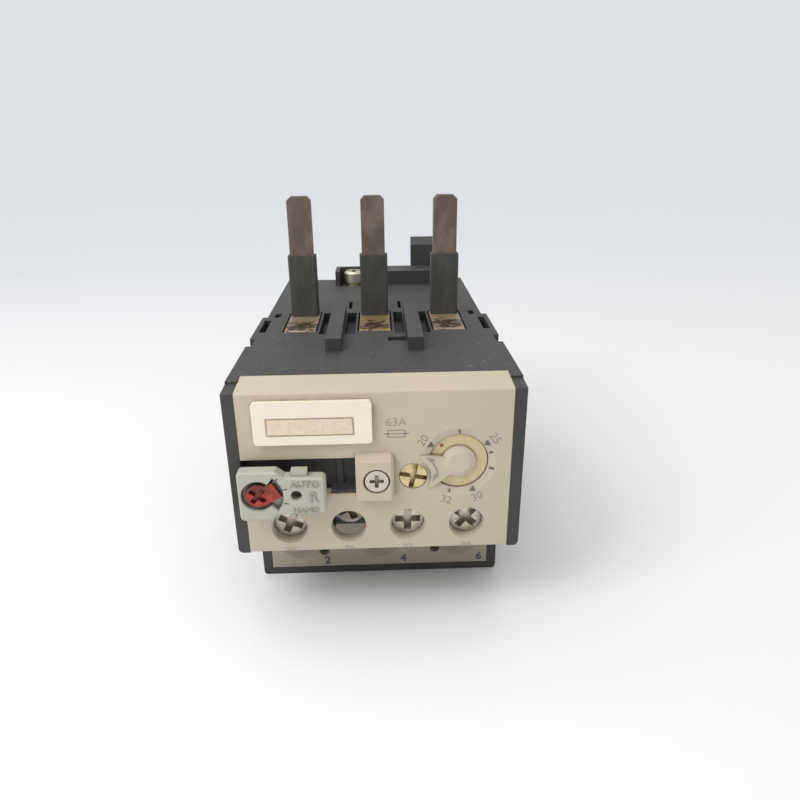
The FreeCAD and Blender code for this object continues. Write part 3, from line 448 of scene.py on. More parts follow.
def cream_marker(name, base, field, low, high):
    """Glossy cream snap-on plate whose blank field is a shade darker."""
    finish = Finish(name, coat=0.15)
    x = finish.part_of(finish.place, "X")
    z = finish.part_of(finish.place, "Z")
    inside = (x > low[0] / MM) * (x < high[0] / MM) * (z > low[1] / MM) * (z < high[1] / MM)
    soft = finish.noise(0.3, detail=3.0)
    plate = finish.mix(finish.ramp(soft, 0.3, 0.75), base, toward(base, field, 0.22))
    strip = finish.mix(finish.ramp(finish.noise(1.6, detail=4.0), 0.35, 0.75), field,
                       toward(field, shade(206, 178, 138), 0.35))
    tone = finish.mix(inside, plate, strip)
    # Painted shade and dirt: darker brown in the plate's corners and crevices.
    shade_and_dirt = finish.crevices(0.7, 0.35, 0.95)
    tone = finish.mix(shade_and_dirt * 0.25, tone, shade(172, 146, 112))
    normal = finish.relief(soft, 0.03, finish.rounded(0.25))
    return finish.feed(Base_Color=tone, Roughness=0.34 + 0.12 * soft, Normal=normal)


def grey_nylon(name, base):
    """Waxy grey-green nylon of the push plate with a fine scratchy skin, painted shade in its
    corners and painted near black shade deep in its hole.
    """
    finish = Finish(name)
    grain = finish.noise(2.2, detail=4.0, roughness=0.65)
    streaks = finish.noise(1.3, detail=2.0, stretch=(0.35, 1.0, 1.6))
    tone = finish.mix(finish.ramp(grain, 0.3, 0.75), dark(base, 0.9), dark(base, 1.06))
    tone = finish.mix(finish.ramp(streaks, 0.5, 0.8) * 0.25, tone, shade(206, 206, 194))
    # Painted shade, with some dirt, in corners and crevices.
    shade_and_dirt = finish.crevices(0.8, 0.3, 0.95)
    tone = finish.mix(shade_and_dirt * 0.5, tone, shade(112, 106, 92))
    # Painted shade: near black deep in the hole and other hollows.
    hole_shade = finish.crevices(2.0, 0.12, 0.5)
    tone = finish.mix(hole_shade * 0.6, tone, shade(58, 55, 50))
    normal = finish.relief(grain, 0.03, finish.rounded(0.3))
    return finish.feed(Base_Color=tone, Roughness=0.42 + 0.16 * grain, Normal=normal)


def red_selector(name, base, axis):
    """Shiny red plastic, with painted shade that makes it almost black red in its slot and on its
    top half.
    """
    finish = Finish(name, coat=0.12)
    swirl = finish.noise(0.9, detail=3.0)
    tone = finish.mix(finish.ramp(swirl, 0.35, 0.65), dark(base, 0.6), dark(base, 1.2))
    # Painted shade: darker red over the top half of the knob, whose top and slot are in shade.
    above = finish.part_of(finish.place, "Z") - axis.z / MM
    across = finish.part_of(finish.place, "X") - axis.x / MM
    knob_top_shade = finish.ramp(above + 0.9 * swirl, 0.4, 1.5) * finish.ramp(across, 2.2, 0.8)
    tone = finish.mix(knob_top_shade * 0.7, tone, shade(84, 22, 34))
    # Painted shade: almost black red deep in the slot.
    deep = finish.crevices(1.2, 0.3, 0.9)
    tone = finish.mix(deep * 0.75, tone, shade(64, 12, 16))
    normal = finish.relief(swirl, 0.12, finish.rounded(0.35))
    return finish.feed(Base_Color=tone, Roughness=0.3 + 0.15 * swirl, Normal=normal)


def yellowed_dial(name, base):
    """Yellowed clear-lacquered ring and wheel of the setting dial."""
    finish = Finish(name, coat=0.2)
    soft = finish.noise(0.7, detail=3.0)
    tone = finish.mix(finish.ramp(soft, 0.3, 0.7), toward(base, shade(206, 196, 156), 0.5),
                      toward(base, shade(192, 172, 120), 0.3))
    # Painted shade, with some dirt: dark brown in the gaps and corners of the dial.
    shade_and_dirt = finish.crevices(0.6, 0.35, 0.95)
    tone = finish.mix(shade_and_dirt * 0.6, tone, shade(120, 92, 46))
    normal = finish.relief(soft, 0.02, finish.rounded(0.12))
    return finish.feed(Base_Color=tone, Roughness=0.36 + 0.12 * soft, Normal=normal)


def bright_brass(name, base):
    """Turned brass with a fine lathe mark and tarnish in the slots."""
    finish = Finish(name, metallic=1.0)
    turned = finish.noise(9.0, detail=2.0, stretch=(0.15, 1.0, 1.0))
    stains = finish.noise(0.8, detail=4.0)
    tone = finish.mix(finish.ramp(stains, 0.4, 0.75), base, toward(base, shade(150, 112, 52), 0.6))
    deep = finish.crevices(1.0, 0.3, 0.9)
    tone = finish.mix(deep * 0.45, tone, shade(104, 78, 40))
    normal = finish.relief(turned, 0.012, finish.rounded(0.12))
    return finish.feed(Base_Color=tone, Roughness=0.3 + 0.2 * stains, Normal=normal)


def plated_steel(name, base, stain=0.45):
    """Zinc-plated steel: dull bright skin, grey stains, dirt and painted shade in the recess,
    painted highlights on the edges.
    """
    finish = Finish(name)
    speckle = finish.noise(3.5, detail=4.0, roughness=0.7)
    stains = finish.noise(0.6, detail=4.0)
    tone = finish.mix(finish.ramp(speckle, 0.4, 0.7) * 0.5, base, dark(base, 0.62))
    tone = finish.mix(finish.ramp(stains, 0.48, 0.72) * stain, tone, shade(128, 118, 102))
    # Dirt and painted shade: flat grey in the recess, where the metal is also made less metallic.
    deep = finish.crevices(1.6, 0.3, 0.9)
    tone = finish.mix(deep * 0.85, tone, shade(138, 130, 118))
    # Painted highlight: near white along the edges.
    bright = finish.edges(0.18, 3.0)
    tone = finish.mix(bright * 0.45, tone, shade(232, 230, 225))
    normal = finish.relief(speckle, 0.02, finish.rounded(0.14))
    return finish.feed(Base_Color=tone, Metallic=0.92 - 0.8 * deep,
                       Roughness=0.3 + 0.25 * speckle, Normal=normal)


def oxidised_pin(name, base, tin, board, middle):
    """Brown oxidised copper pin above a mottled tinned foot, with scratches that carry painted
    glints.
    """
    finish = Finish(name, metallic=0.55)
    fine = finish.noise(4.0, detail=5.0, roughness=0.75)
    broad = finish.noise(0.35, detail=3.0, stretch=(1.0, 1.0, 0.45))
    shaft = finish.mix(finish.ramp(broad, 0.35, 0.68), dark(base, 0.72), dark(base, 1.15))
    shaft = finish.mix(finish.ramp(fine, 0.45, 0.72) * 0.4, shaft, shade(150, 112, 92))
    worn = finish.edges(0.35, 2.5) * finish.ramp(finish.noise(0.8, detail=3.0), 0.3, 0.6)
    shaft = finish.mix(worn * 0.45, shaft, shade(172, 150, 132))
    # Painted glints: near white specks on scratches along the shaft.
    glint_specks = finish.ramp(finish.cells(1.6), 0.16, 0.06) * finish.ramp(broad, 0.52, 0.62)
    shaft = finish.mix(glint_specks * 0.9, shaft, shade(238, 226, 210))
    blotch = finish.noise(0.6, detail=6.0, roughness=0.7)
    away = finish.node("ShaderNodeVectorMath", {"operation": "DISTANCE"},
                       {0: finish.place, 1: middle}, out="Value")
    worn_down = finish.ramp(blotch + 0.045 * away, 0.58, 0.74)
    foot = finish.mix(worn_down, shade(58, 44, 30), tin)
    foot = finish.mix(finish.ramp(fine, 0.52, 0.7) * 0.45, foot, shade(206, 192, 168))
    foot = finish.mix(finish.edges(0.3, 2.0) * 0.5, foot, shade(226, 212, 186))
    low = finish.part_of(finish.place, "Z") < board
    tone = finish.mix(low, shaft, foot)
    height = fine * 0.6 + blotch * low
    normal = finish.relief(height, 0.09, finish.rounded(0.2))
    return finish.feed(Base_Color=tone, Roughness=0.42 + 0.22 * fine, Normal=normal)


def shrunk_sleeve(name, base):
    """Matt shrink sleeve with the slight ripple of its shrinking."""
    finish = Finish(name)
    ripple = finish.noise(0.5, detail=2.0, stretch=(1.0, 1.0, 0.4))
    grain = finish.noise(6.0, detail=3.0)
    tone = finish.mix(finish.ramp(ripple, 0.3, 0.7), dark(base, 0.85), dark(base, 1.15))
    worn = finish.edges(0.2, 2.5)
    tone = finish.mix(worn * 0.3, tone, dark(base, 2.4))
    normal = finish.relief(ripple + grain * 0.12, 0.1, finish.rounded(0.15))
    return finish.feed(Base_Color=tone, Roughness=0.5 + 0.12 * grain, Normal=normal)


def spring_steel(name, base, tarnish):
    """Rolled strip metal with lengthwise marks and heat tarnish."""
    finish = Finish(name, metallic=0.95)
    rolled = finish.noise(4.0, detail=3.0, stretch=(1.0, 0.12, 1.0))
    heat = finish.noise(0.2, detail=2.0)
    tone = finish.mix(finish.ramp(heat, 0.35, 0.7), base, tarnish)
    tone = finish.mix(finish.ramp(rolled, 0.4, 0.75) * 0.4, tone, dark(base, 0.6))
    normal = finish.relief(rolled, 0.015, finish.rounded(0.1))
    return finish.feed(Base_Color=tone, Roughness=0.32 + 0.2 * rolled, Normal=normal)


def pale_nylon(name, base):
    """Plain natural nylon of the working parts inside."""
    finish = Finish(name)
    soft = finish.noise(0.8, detail=3.0)
    tone = finish.mix(finish.ramp(soft, 0.3, 0.7), dark(base, 0.9), dark(base, 1.05))
    normal = finish.relief(soft, 0.03, finish.rounded(0.15))
    return finish.feed(Base_Color=tone, Roughness=0.45 + 0.1 * soft, Normal=normal)


def worn_print(name, ink, ground, wear):
    """Printing ink rubbed thin in patches, so that the plastic shows through."""
    finish = Finish(name)
    rubbed = finish.ramp(finish.noise(2.4, detail=4.0, roughness=0.7), 0.62 - wear / 3, 0.78)
    thin = finish.ramp(finish.noise(0.5, detail=2.0), 0.3, 0.8)
    tone = finish.mix(wear * (0.35 + 0.5 * thin) + rubbed * wear, ink, ground)
    return finish.feed(Base_Color=tone, Roughness=0.5 + 0.1 * thin)


# ---- meshes -----------------------------------------------------------------------------


def named(prefix):
    """CAD nodes whose names start with a prefix, in order."""
    return sorted(name for name in frame["nodes"] if name.startswith(prefix))


def dress(names, finish):
    """Gives the CAD nodes one finish."""
    for name in names:
        node = frame["nodes"][name]
        if not node.material_slots:
            node.data.materials.append(finish.material)
        for slot in node.material_slots:
            slot.material = finish.material


def on_front(x, z, depth, turn_deg=0.0):
    """Place on a surface that faces the front; a turn is anticlockwise seen from the front."""
    turn = Matrix.Rotation(math.radians(-turn_deg), 4, "Y")
    return Matrix.Translation((x, depth, z)) @ turn @ Matrix.Rotation(math.radians(90), 4, "X")


def polar(centre, radius, degrees):
    """A point in x and z round a centre, anticlockwise from the right."""
    turn = math.radians(degrees)
    return centre.x + radius * math.cos(turn), centre.z + radius * math.sin(turn)


def letters(words, height, depth, swell=0.0):
    """A word as a bmesh that lies in x and y, centred, with its given height."""
    font = bpy.data.curves.new("word", "FONT")
    font.body = words
    font.size = 1.0
    font.resolution_u = 4
    font.offset = swell
    font.extrude = 0.5
    carrier = bpy.data.objects.new("word", font)
    bpy.context.scene.collection.objects.link(carrier)
    bpy.context.view_layer.update()
    flat = bpy.data.meshes.new_from_object(carrier)
    bpy.data.objects.remove(carrier)
    made = bmesh.new()
    made.from_mesh(flat)
    bpy.data.meshes.remove(flat)
    xs = [v.co.x for v in made.verts]
    ys = [v.co.y for v in made.verts]
    scale = height / (max(ys) - min(ys))
    middle = Vector(((max(xs) + min(xs)) / 2, (max(ys) + min(ys)) / 2, 0))
    bmesh.ops.translate(made, verts=made.verts, vec=-middle)
    bmesh.ops.scale(made, verts=made.verts, vec=(scale, scale, depth))
    bmesh.ops.remove_doubles(made, verts=made.verts, dist=1e-7)
    return made


def slab(width, height, depth):
    """A thin printed bar that lies in x and y, with its corners eased."""
    made = bmesh.new()
    bmesh.ops.create_cube(made, size=1.0)
    bmesh.ops.scale(made, verts=made.verts, vec=(width, height, depth))
    upright = [e for e in made.edges if abs(e.verts[0].co.z - e.verts[1].co.z) > depth / 2]
    bmesh.ops.bevel(made, geom=upright, offset=min(width, height) * 0.2, affect="EDGES",
                    segments=2, profile=0.5, material=-1)
    return made


def wedge(size, depth, stretch=1.0):
    """A thin printed triangle in x and y that points up."""
    made = bmesh.new()
    bmesh.ops.create_circle(made, cap_ends=True, segments=3, radius=size)
    bmesh.ops.scale(made, verts=made.verts, vec=(1.0, stretch, 1.0))
    lift(made, depth)
    return made


def disc(radius, depth):
    """A thin round dot in x and y."""
    made = bmesh.new()
    bmesh.ops.create_circle(made, cap_ends=True, segments=24, radius=radius)
    lift(made, depth)
    return made


def lift(made, depth):
    """Gives flat faces a thickness about the plane in which they lie."""
    bmesh.ops.translate(made, verts=made.verts, vec=(0, 0, -depth / 2))
    raised = bmesh.ops.extrude_face_region(made, geom=made.faces[:])["geom"]
    fresh = [g for g in raised if isinstance(g, bmesh.types.BMVert)]
    bmesh.ops.translate(made, verts=fresh, vec=(0, 0, depth))
    bmesh.ops.recalc_face_normals(made, faces=made.faces)


def arc_band(radius, width, start_deg, sweep_deg, depth):
    """A thin curved band in x and y about the origin."""
    made = bmesh.new()
    ends = [made.verts.new((radius + side * width / 2, 0, 0)) for side in (-1, 1)]
    edge = made.edges.new(ends)
    bmesh.ops.rotate(made, verts=ends, cent=(0, 0, 0),
                     matrix=Matrix.Rotation(math.radians(start_deg), 3, "Z"))
    bmesh.ops.spin(made, geom=[edge, *ends], cent=(0, 0, 0), axis=(0, 0, 1), dvec=(0, 0, 0),
                   angle=math.radians(sweep_deg), steps=18, use_merge=False)
    lift(made, depth)
    return made


def coil(radius, wire, reach, turns):
    """A closed helix of round wire about the y axis, whose ends lie a given reach apart."""
    made = bmesh.new()
    bmesh.ops.create_circle(made, segments=10, radius=wire)
    bmesh.ops.translate(made, verts=made.verts, vec=(radius, 0, 0))
    steps = turns * 24
    bmesh.ops.spin(made, geom=made.verts[:] + made.edges[:], cent=(0, 0, 0), axis=(0, 1, 0),
                   dvec=(0, reach / steps, 0), angle=math.radians(360) * turns, steps=steps,
                   use_merge=False)
    bmesh.ops.holes_fill(made, edges=[edge for edge in made.edges if edge.is_boundary])
    bmesh.ops.recalc_face_normals(made, faces=made.faces)
    return made


def piece(name, parts, finish, body):
    """Joins bmeshes, each with its place, into one object that rides on a body."""
    whole = bmesh.new()
    for part, place in parts:
        bmesh.ops.transform(part, matrix=place, verts=part.verts)
        loose = bpy.data.meshes.new("loose")
        part.to_mesh(loose)
        part.free()
        whole.from_mesh(loose)
        bpy.data.meshes.remove(loose)
    mesh = bpy.data.meshes.new(name)
    whole.to_mesh(mesh)
    whole.free()
    mesh.materials.append(finish.material)
    made = bpy.data.objects.new(name, mesh)
    bpy.context.scene.collection.objects.link(made)
    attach(made, body)
    return made


# ---- operators --------------------------------------------------------------------------


class RELAY_OT_mouldings(bpy.types.Operator):
    """Black housing, terminal block, rear cover and reset guide."""

    bl_idname = "relay.mouldings"
    bl_label = "Black mouldings"

    def execute(self, context):
        base = tuple(context.scene.relay_colours.housing)
        dress(["main_housing", "terminal_block"], black_moulding("housing_black", base))
        dress(["rear_cover"], black_moulding("rear_cover_black", dark(base, 0.92)))
        dress(["reset_guide"], black_moulding("guide_black", dark(base, 1.5), dusty=False))
        return {"FINISHED"}


class RELAY_OT_covers(bpy.types.Operator):
    """Beige front cover, and the terminal cover in a darker copy of the beige as painted shade."""

    bl_idname = "relay.covers"
    bl_label = "Beige covers"

    def execute(self, context):
        base = tuple(context.scene.relay_colours.cover)
        dress(["front_cover"], beige_moulding("cover_beige", base, DIAL))
        # Painted shade: the terminal cover takes the cover's beige at less than half its
        # brightness, for the shade under the front cover.
        dress(["terminal_cover"], beige_moulding("terminal_cover_shaded_beige", dark(base, 0.45)))
        return {"FINISHED"}


class RELAY_OT_marker(bpy.types.Operator):
    """Cream marker plate with its blank field."""

    bl_idname = "relay.marker"
    bl_label = "Marker plate"

    def execute(self, context):
        colours = context.scene.relay_colours
        low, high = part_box("marker_plate")
        field_low = (low.x + FIELD_SIDE * MM, low.z + FIELD_BOTTOM * MM)
        field_high = (high.x - (FIELD_SIDE + FIELD_SHORT) * MM,
                      field_low[1] + FIELD_HEIGHT * MM)
        dress(["marker_plate"], cream_marker("marker_cream", tuple(colours.marker),
                                             tuple(colours.marker_field), field_low, field_high))
        return {"FINISHED"}


class RELAY_OT_setting(bpy.types.Operator):
    """Setting wheel, adjuster, lever and bracket."""

    bl_idname = "relay.setting"
    bl_label = "Setting train"

    def execute(self, context):
        colours = context.scene.relay_colours
        dress(["dial_wheel"], yellowed_dial("dial_yellow", tuple(colours.dial)))
        dress(["adjuster_screw"], bright_brass("adjuster_brass", tuple(colours.brass)))
        dress(["adjuster_bracket"], plated_steel("bracket_steel", tuple(colours.steel)))
        dress(["setting_lever"], pale_nylon("lever_nylon", shade(206, 200, 186)))
        return {"FINISHED"}


class RELAY_OT_reset(bpy.types.Operator):
    """Push plate and the red mode selector."""

    bl_idname = "relay.reset"
    bl_label = "Reset plate and selector"

    def execute(self, context):
        colours = context.scene.relay_colours
        dress(["reset_plate"], grey_nylon("reset_grey", tuple(colours.reset)))
        dress(["mode_selector"], red_selector("selector_red", tuple(colours.selector), SELECTOR))
        return {"FINISHED"}


class RELAY_OT_spring(bpy.types.Operator):
    """Return spring behind the push plate."""

    bl_idname = "relay.spring"
    bl_label = "Return spring"

    def execute(self, context):
        colours = context.scene.relay_colours
        steel = spring_steel("reset_spring_steel", tuple(colours.steel), shade(150, 146, 138))
        dress(["reset_spring"], steel)
        low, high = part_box("reset_spring")
        length = high.y - low.y
        wire = SPRING_WIRE * MM
        radius = (high.x - low.x) / 2 - SPRING_GAP * MM - wire
        turned = coil(radius, wire, length - 2 * wire, SPRING_TURNS)
        place = Matrix.Translation(((low.x + high.x) / 2, low.y + wire, (low.z + high.z) / 2))
        spring = piece("return_spring", [(turned, place)], steel, "case")
        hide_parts("reset_spring")
        1 - PRESS_TRAVEL / length
        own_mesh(spring)
        return {"FINISHED"}


class RELAY_OT_poles(bpy.types.Operator):
    """Line pins and their sleeves."""

    bl_idname = "relay.poles"
    bl_label = "Pins and sleeves"

    def execute(self, context):
        colours = context.scene.relay_colours
        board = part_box("pin_sleeve_1")[0].z / MM + FOOT_TOP
        warm = shade(150, 130, 70)
        for name in named("line_pin"):
            tin = tuple(colours.tin)
            if name.endswith("2"):
                tin = toward(tin, warm, 0.7)
            low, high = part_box(name)
            middle = ((low.x + high.x) / 2 / MM, low.y / MM + STAIN_PLACE, board)
            dress([name], oxidised_pin(f"{name}_oxidised", tuple(colours.pin), tin, board,
                                       middle))
        dress(named("pin_sleeve"), shrunk_sleeve("sleeve_black", tuple(colours.sleeve)))
        return {"FINISHED"}


class RELAY_OT_fasteners(bpy.types.Operator):
    """Screws, clamps, lugs, bars and terminal plates."""

    bl_idname = "relay.fasteners"
    bl_label = "Screws and terminals"

    def execute(self, context):
        colours = context.scene.relay_colours
        steel = tuple(colours.steel)
        brass = tuple(colours.brass)
        screws = named("aux_screw") + named("load_screw") + ["link_screw"]
        dress(screws, plated_steel("screw_plate", steel))
        dress(["cover_screw"], plated_steel("cover_screw_plate", dark(steel, 0.95), stain=0.3))
        clamps = named("aux_clamp") + named("load_pad") + named("load_lug") + ["link_washer"]
        dress(clamps, plated_steel("clamp_plate", dark(steel, 0.9)))
        dress(named("aux_terminal") + ["link_terminal"], bright_brass("terminal_brass", brass))
        dress(named("load_bar"), bright_brass("bar_brass", dark(brass, 0.85)))
        return {"FINISHED"}


class RELAY_OT_mechanism(bpy.types.Operator):
    """Strips, heaters, slider, levers, bridges and pivots."""

    bl_idname = "relay.mechanism"
    bl_label = "Trip mechanism"

    def execute(self, context):
        steel = tuple(context.scene.relay_colours.steel)
        strips = spring_steel("bimetal_rolled", shade(176, 168, 152), shade(150, 120, 86))
        dress(named("bimetal_strip"), strips)
        dress(named("heater_coil"), spring_steel("heater_ribbon", shade(150, 140, 124),
                                                 shade(104, 88, 72)))
        dress(["trip_slider"], pale_nylon("slider_nylon", shade(150, 78, 54)))
        dress(["trip_rocker"], pale_nylon("rocker_nylon", shade(214, 208, 194)))
        dress(["compensation_lever"], pale_nylon("compensator_nylon", shade(186, 180, 164)))
        dress(["nc_bridge", "no_bridge"], bright_brass("bridge_brass", shade(206, 176, 120)))
        dress(["pivot_pins"], plated_steel("pivot_steel", steel, stain=0.1))
        return {"FINISHED"}


class RELAY_OT_scale(bpy.types.Operator):
    """Printed current scale round the dial and the red dot on its ring."""

    bl_idname = "relay.scale"
    bl_label = "Current scale"

    def execute(self, context):
        colours = context.scene.relay_colours
        marks = context.scene.relay_marks
        depth = marks.print_depth
        ground = tuple(colours.cover)
        print_grey = worn_print("scale_ink", tuple(colours.ink), ground, 0.25)
        parts = []
        for words, degrees, turn in NUMERALS:
            x, z = polar(DIAL, NUMERAL_RING * MM, degrees)
            word = letters(words, marks.numeral, depth, -0.004)
            parts.append((word, on_front(x, z, FACE, turn)))
        piece("scale_numerals", parts, print_grey, "case")
        dark_ink = worn_print("tick_ink", shade(92, 88, 84), ground, 0.12)
        parts = []
        for degrees in POINTERS:
            x, z = polar(DIAL, POINTER_RING * MM, degrees)
            parts.append((wedge(POINTER_SIZE * MM, depth), on_front(x, z, FACE)))
        for degrees, long in TICKS:
            x, z = polar(DIAL, (TICK_RING + long / 2) * MM, degrees)
            bar = slab(long * MM, TICK_WIDTH * MM, depth)
            parts.append((bar, on_front(x, z, FACE, degrees)))
        piece("scale_ticks", parts, dark_ink, "case")
        x, z = polar(DIAL, DOT_RING * MM, DOT_ANGLE)
        front = FACE + RING_DEPTH * MM
        red = worn_print("dot_ink", tuple(colours.dot), tuple(colours.dial), 0.05)
        dot = disc(DOT_RADIUS * MM, depth)
        piece("dial_dot", [(dot, on_front(x, z, front))], red, "dial")
        return {"FINISHED"}


class RELAY_OT_turn_arrow(bpy.types.Operator):
    """Double curved arrow that shows how the adjuster turns."""

    bl_idname = "relay.turn_arrow"
    bl_label = "Turn arrow"

    def execute(self, context):
        colours = context.scene.relay_colours
        depth = context.scene.relay_marks.print_depth
        ink = worn_print("arrow_ink", shade(146, 140, 134), tuple(colours.cover), 0.1)
        front = FACE - BRIDGE_RISE * MM
        band = arc_band(ARROW_RING * MM, ARROW_WIDTH * MM, ARROW_START, ARROW_SWEEP, depth)
        parts = [(band, on_front(ADJUSTER.x, ADJUSTER.z, front))]
        for reach, degrees, turn in ARROW_HEADS:
            x, z = polar(ADJUSTER, reach * MM, degrees)
            head = wedge(HEAD_SIZE * MM, depth, HEAD_STRETCH)
            parts.append((head, on_front(x, z, front, turn)))
        piece("turn_arrow", parts, ink, "case")
        return {"FINISHED"}


class RELAY_OT_numbers(bpy.types.Operator):
    """Printed numbers of the load terminals and the worn contact numbers."""

    bl_idname = "relay.numbers"
    bl_label = "Terminal numbers"

    def execute(self, context):
        colours = context.scene.relay_colours
        marks = context.scene.relay_marks
        depth = marks.print_depth
        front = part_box("terminal_cover")[0].y
        blue = worn_print("number_ink", tuple(colours.number_ink), tuple(colours.cover), 0.12)
        parts = []
        for number, (low, high) in zip("246", POLES):
            x = (low.x + high.x) / 2 + NUMBER_SIDE * MM
            word = letters(number, marks.terminal, depth, 0.035)
            parts.append((word, on_front(x, NUMBER_UP * MM, front)))
        piece("load_numbers", parts, blue, "case")
        faint = worn_print("contact_ink", shade(150, 140, 134), tuple(colours.cover), 0.3)
        parts = []
        for number, (low, high) in zip(("95", "96", "97", "98"), AUX_SCREWS):
            word = letters(number, marks.contact, depth)
            bmesh.ops.scale(word, verts=word.verts, vec=(CONTACT_STRETCH, 1.0, 1.0))
            parts.append((word, on_front((low.x + high.x) / 2, CONTACT_UP * MM, FACE)))
        piece("contact_numbers", parts, faint, "case")
        return {"FINISHED"}


class RELAY_OT_rating(bpy.types.Operator):
    """Largest back-up fuse: its rating and the fuse symbol."""

    bl_idname = "relay.rating"
    bl_label = "Fuse rating"

    def execute(self, context):
        colours = context.scene.relay_colours
        marks = context.scene.relay_marks
        depth = marks.print_depth
        ink = worn_print("rating_ink", shade(140, 136, 130), tuple(colours.cover), 0.22)
        x, z = RATING_RIGHT * MM, CASE_TOP - RATING_DOWN * MM
        parts = [(letters("63A", marks.rating, depth, -0.012), on_front(x, z, FACE))]
        z -= FUSE_DOWN * MM
        width, height, line = FUSE_WIDTH * MM, FUSE_HEIGHT * MM, FUSE_LINE * MM
        for side in (-1, 1):
            parts.append((slab(width, line, depth),
                          on_front(x, z + side * height / 2, FACE)))
            parts.append((slab(line, height, depth),
                          on_front(x + side * width / 2, z, FACE)))
        parts.append((slab(width + FUSE_LEADS * MM, line, depth), on_front(x, z, FACE)))
        piece("fuse_rating", parts, ink, "case")
        return {"FINISHED"}


class RELAY_OT_reset_words(bpy.types.Operator):
    """Raised words and letter on the push plate, painted darker as shade, and its position ticks.
    """

    bl_idname = "relay.reset_words"
    bl_label = "Reset words"

    def execute(self, context):
        colours = context.scene.relay_colours
        marks = context.scene.relay_marks
        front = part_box("reset_plate")[0].y
        # Painted shade: the raised letters are the plate's own nylon made darker, for the shade
        # along their edges.
        raised = grey_nylon("reset_letters_shaded", dark(tuple(colours.reset), 0.8))
        parts = []
        for text, across, up, size in PLATE_WORDS:
            place = on_front(SELECTOR.x + across * MM, SELECTOR.z + up * MM, front)
            parts.append((letters(text, marks.raised * size, marks.emboss * 2, 0.01), place))
        piece("reset_words", parts, raised, "reset")
        dark_line = worn_print("groove_shadow", shade(96, 94, 88), tuple(colours.reset), 0.05)
        parts = []
        for degrees, near, far in PLATE_TICKS:
            x, z = polar(SELECTOR, (near + far) / 2 * MM, degrees)
            bar = slab((far - near) * MM, PLATE_TICK_WIDTH * MM, marks.print_depth)
            parts.append((bar, on_front(x, z, front, degrees)))
        piece("reset_ticks", parts, dark_line, "reset")
        return {"FINISHED"}


class RELAY_OT_stage(bpy.types.Operator):
    """Pale floor, soft light, plain surroundings and the camera."""

    bl_idname = "relay.stage"
    bl_label = "Studio"

    def execute(self, context):
        stage = context.scene.relay_stage
        lay_floor(tuple(context.scene.relay_colours.floor), stage.floor_radius)
        light_world(context.scene, stage.sky)
        hang_sun(stage.sun, stage.sun_width)
        hang_lamp(stage.lamp)
        place_camera(context.scene, stage)
        context.scene.view_settings.view_transform = "Standard"
        return {"FINISHED"}


def lay_floor(base, radius):
    """A round pale floor that keeps the object's shadow, with painted shade that makes it darker
    and bluer far behind.
    """
    made = bmesh.new()
    bmesh.ops.create_circle(made, cap_ends=True, segments=64, radius=radius)
    mesh = bpy.data.meshes.new("studio_floor")
    made.to_mesh(mesh)
    made.free()
    finish = Finish("floor_matt")
    cloud = finish.noise(0.004, detail=2.0)
    tone = finish.mix(finish.ramp(cloud, 0.3, 0.7), dark(base, 0.985), base)
    # Painted shade: the floor turns a darker bluish grey towards the back.
    far = finish.ramp(finish.part_of(finish.place, "Y"), *FLOOR_FADE)
    tone = finish.mix(far * 0.5, tone, shade(216, 222, 230))
    finish.feed(Base_Color=tone, Roughness=0.85)
    mesh.materials.append(finish.material)
    floor = bpy.data.objects.new("studio_floor", mesh)
    bpy.context.scene.collection.objects.link(floor)


def light_world(scene, strength):
    """Even light from all sides; the camera, gloss and glass see a plain pale backdrop."""
    world = bpy.data.worlds.new("studio_pale")
    scene.world = world
    nodes = Nodes(world)
    camera, gloss, glass = (nodes.node("ShaderNodeLightPath", out=f"Is {kind} Ray")
                            for kind in ("Camera", "Glossy", "Transmission"))
    seen = (camera + gloss + glass).capped()
    lighting = nodes.node("ShaderNodeBackground", None,
                          {"Color": FILL_COLOUR, "Strength": strength})
    backdrop = nodes.node("ShaderNodeBackground", None, {"Color": BACKDROP, "Strength": 1.0})
    choose = nodes.node("ShaderNodeMixShader", None, {"Fac": seen, 1: lighting, 2: backdrop})
    nodes.node("ShaderNodeOutputWorld", None, {"Surface": choose})


def hang_sun(strength, width):
    """A wide soft light from above, a little from the left."""
    lamp = bpy.data.lights.new("overhead_light", "SUN")
    lamp.energy = strength
    lamp.angle = width
    holder = bpy.data.objects.new("overhead_light", lamp)
    holder.rotation_euler = Vector(SUN_DIRECTION).to_track_quat("-Z", "Y").to_euler()
    bpy.context.scene.collection.objects.link(holder)


def hang_lamp(power):
    """A soft square lamp at the front left that looks at the middle of the object."""
    lamp = bpy.data.lights.new("front_lamp", "AREA")
    lamp.shape = "SQUARE"
    lamp.size = LAMP_SIZE
    lamp.energy = power
    holder = bpy.data.objects.new("front_lamp", lamp)
    holder.location = LAMP_PLACE
    aim = sum(CAD_BOX, Vector()) / 2
    holder.rotation_euler = (aim - holder.location).to_track_quat("-Z", "Y").to_euler()
    bpy.context.scene.collection.objects.link(holder)


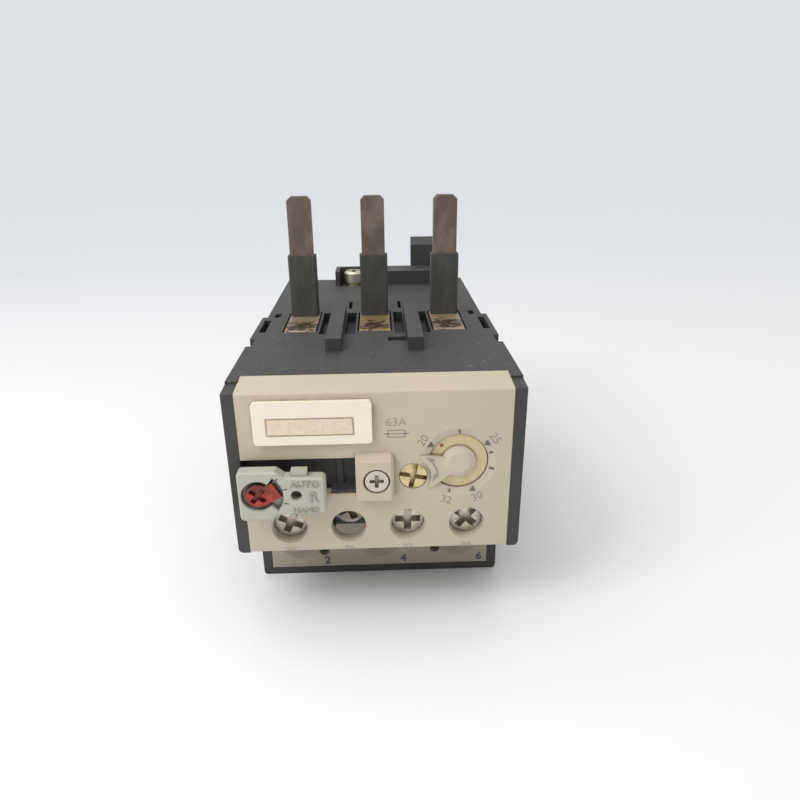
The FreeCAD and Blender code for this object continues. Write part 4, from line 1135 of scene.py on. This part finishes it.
def place_camera(scene, stage):
    """The camera that looks down on the front of the relay."""
    view = bpy.data.cameras.new("front_view")
    view.lens = stage.lens
    view.sensor_width = 36.0
    view.clip_start, view.clip_end = VIEW_RANGE
    camera = bpy.data.objects.new("front_view", view)
    turn = (Matrix.Rotation(stage.camera_yaw, 4, "Z")
            @ Matrix.Rotation(math.radians(90) - stage.camera_pitch, 4, "X")
            @ Matrix.Rotation(stage.camera_roll, 4, "Z"))
    camera.matrix_world = Matrix.Translation(stage.camera_place) @ turn
    scene.collection.objects.link(camera)
    scene.camera = camera


# ---- panel and registration -------------------------------------------------------------

STEPS = (RELAY_OT_mouldings, RELAY_OT_covers, RELAY_OT_marker, RELAY_OT_setting,
         RELAY_OT_reset, RELAY_OT_spring, RELAY_OT_poles, RELAY_OT_fasteners,
         RELAY_OT_mechanism, RELAY_OT_scale, RELAY_OT_turn_arrow, RELAY_OT_numbers,
         RELAY_OT_rating, RELAY_OT_reset_words, RELAY_OT_stage)
SETTINGS = {"relay_colours": RelayColours, "relay_marks": RelayMarks,
            "relay_stage": RelayStage}


class RELAY_PT_steps(bpy.types.Panel):
    """Lists the steps that dress the relay."""

    bl_label = "Relay"
    bl_idname = "RELAY_PT_steps"
    bl_space_type = "VIEW_3D"
    bl_region_type = "UI"
    bl_category = "Relay"

    def draw(self, context):
        for step in STEPS:
            self.layout.operator(step.bl_idname)


def register():
    for group in SETTINGS.values():
        bpy.utils.register_class(group)
    for name, group in SETTINGS.items():
        setattr(bpy.types.Scene, name, PointerProperty(type=group))
    for step in STEPS:
        bpy.utils.register_class(step)
    bpy.utils.register_class(RELAY_PT_steps)


def unregister():
    bpy.utils.unregister_class(RELAY_PT_steps)
    for step in reversed(STEPS):
        bpy.utils.unregister_class(step)
    for name in SETTINGS:
        delattr(bpy.types.Scene, name)
    for group in reversed(SETTINGS.values()):
        bpy.utils.unregister_class(group)


def main():
    register()
    for step in STEPS:
        group, action = step.bl_idname.split(".")
        getattr(getattr(bpy.ops, group), action)()


if __name__ == "__main__":
    main()
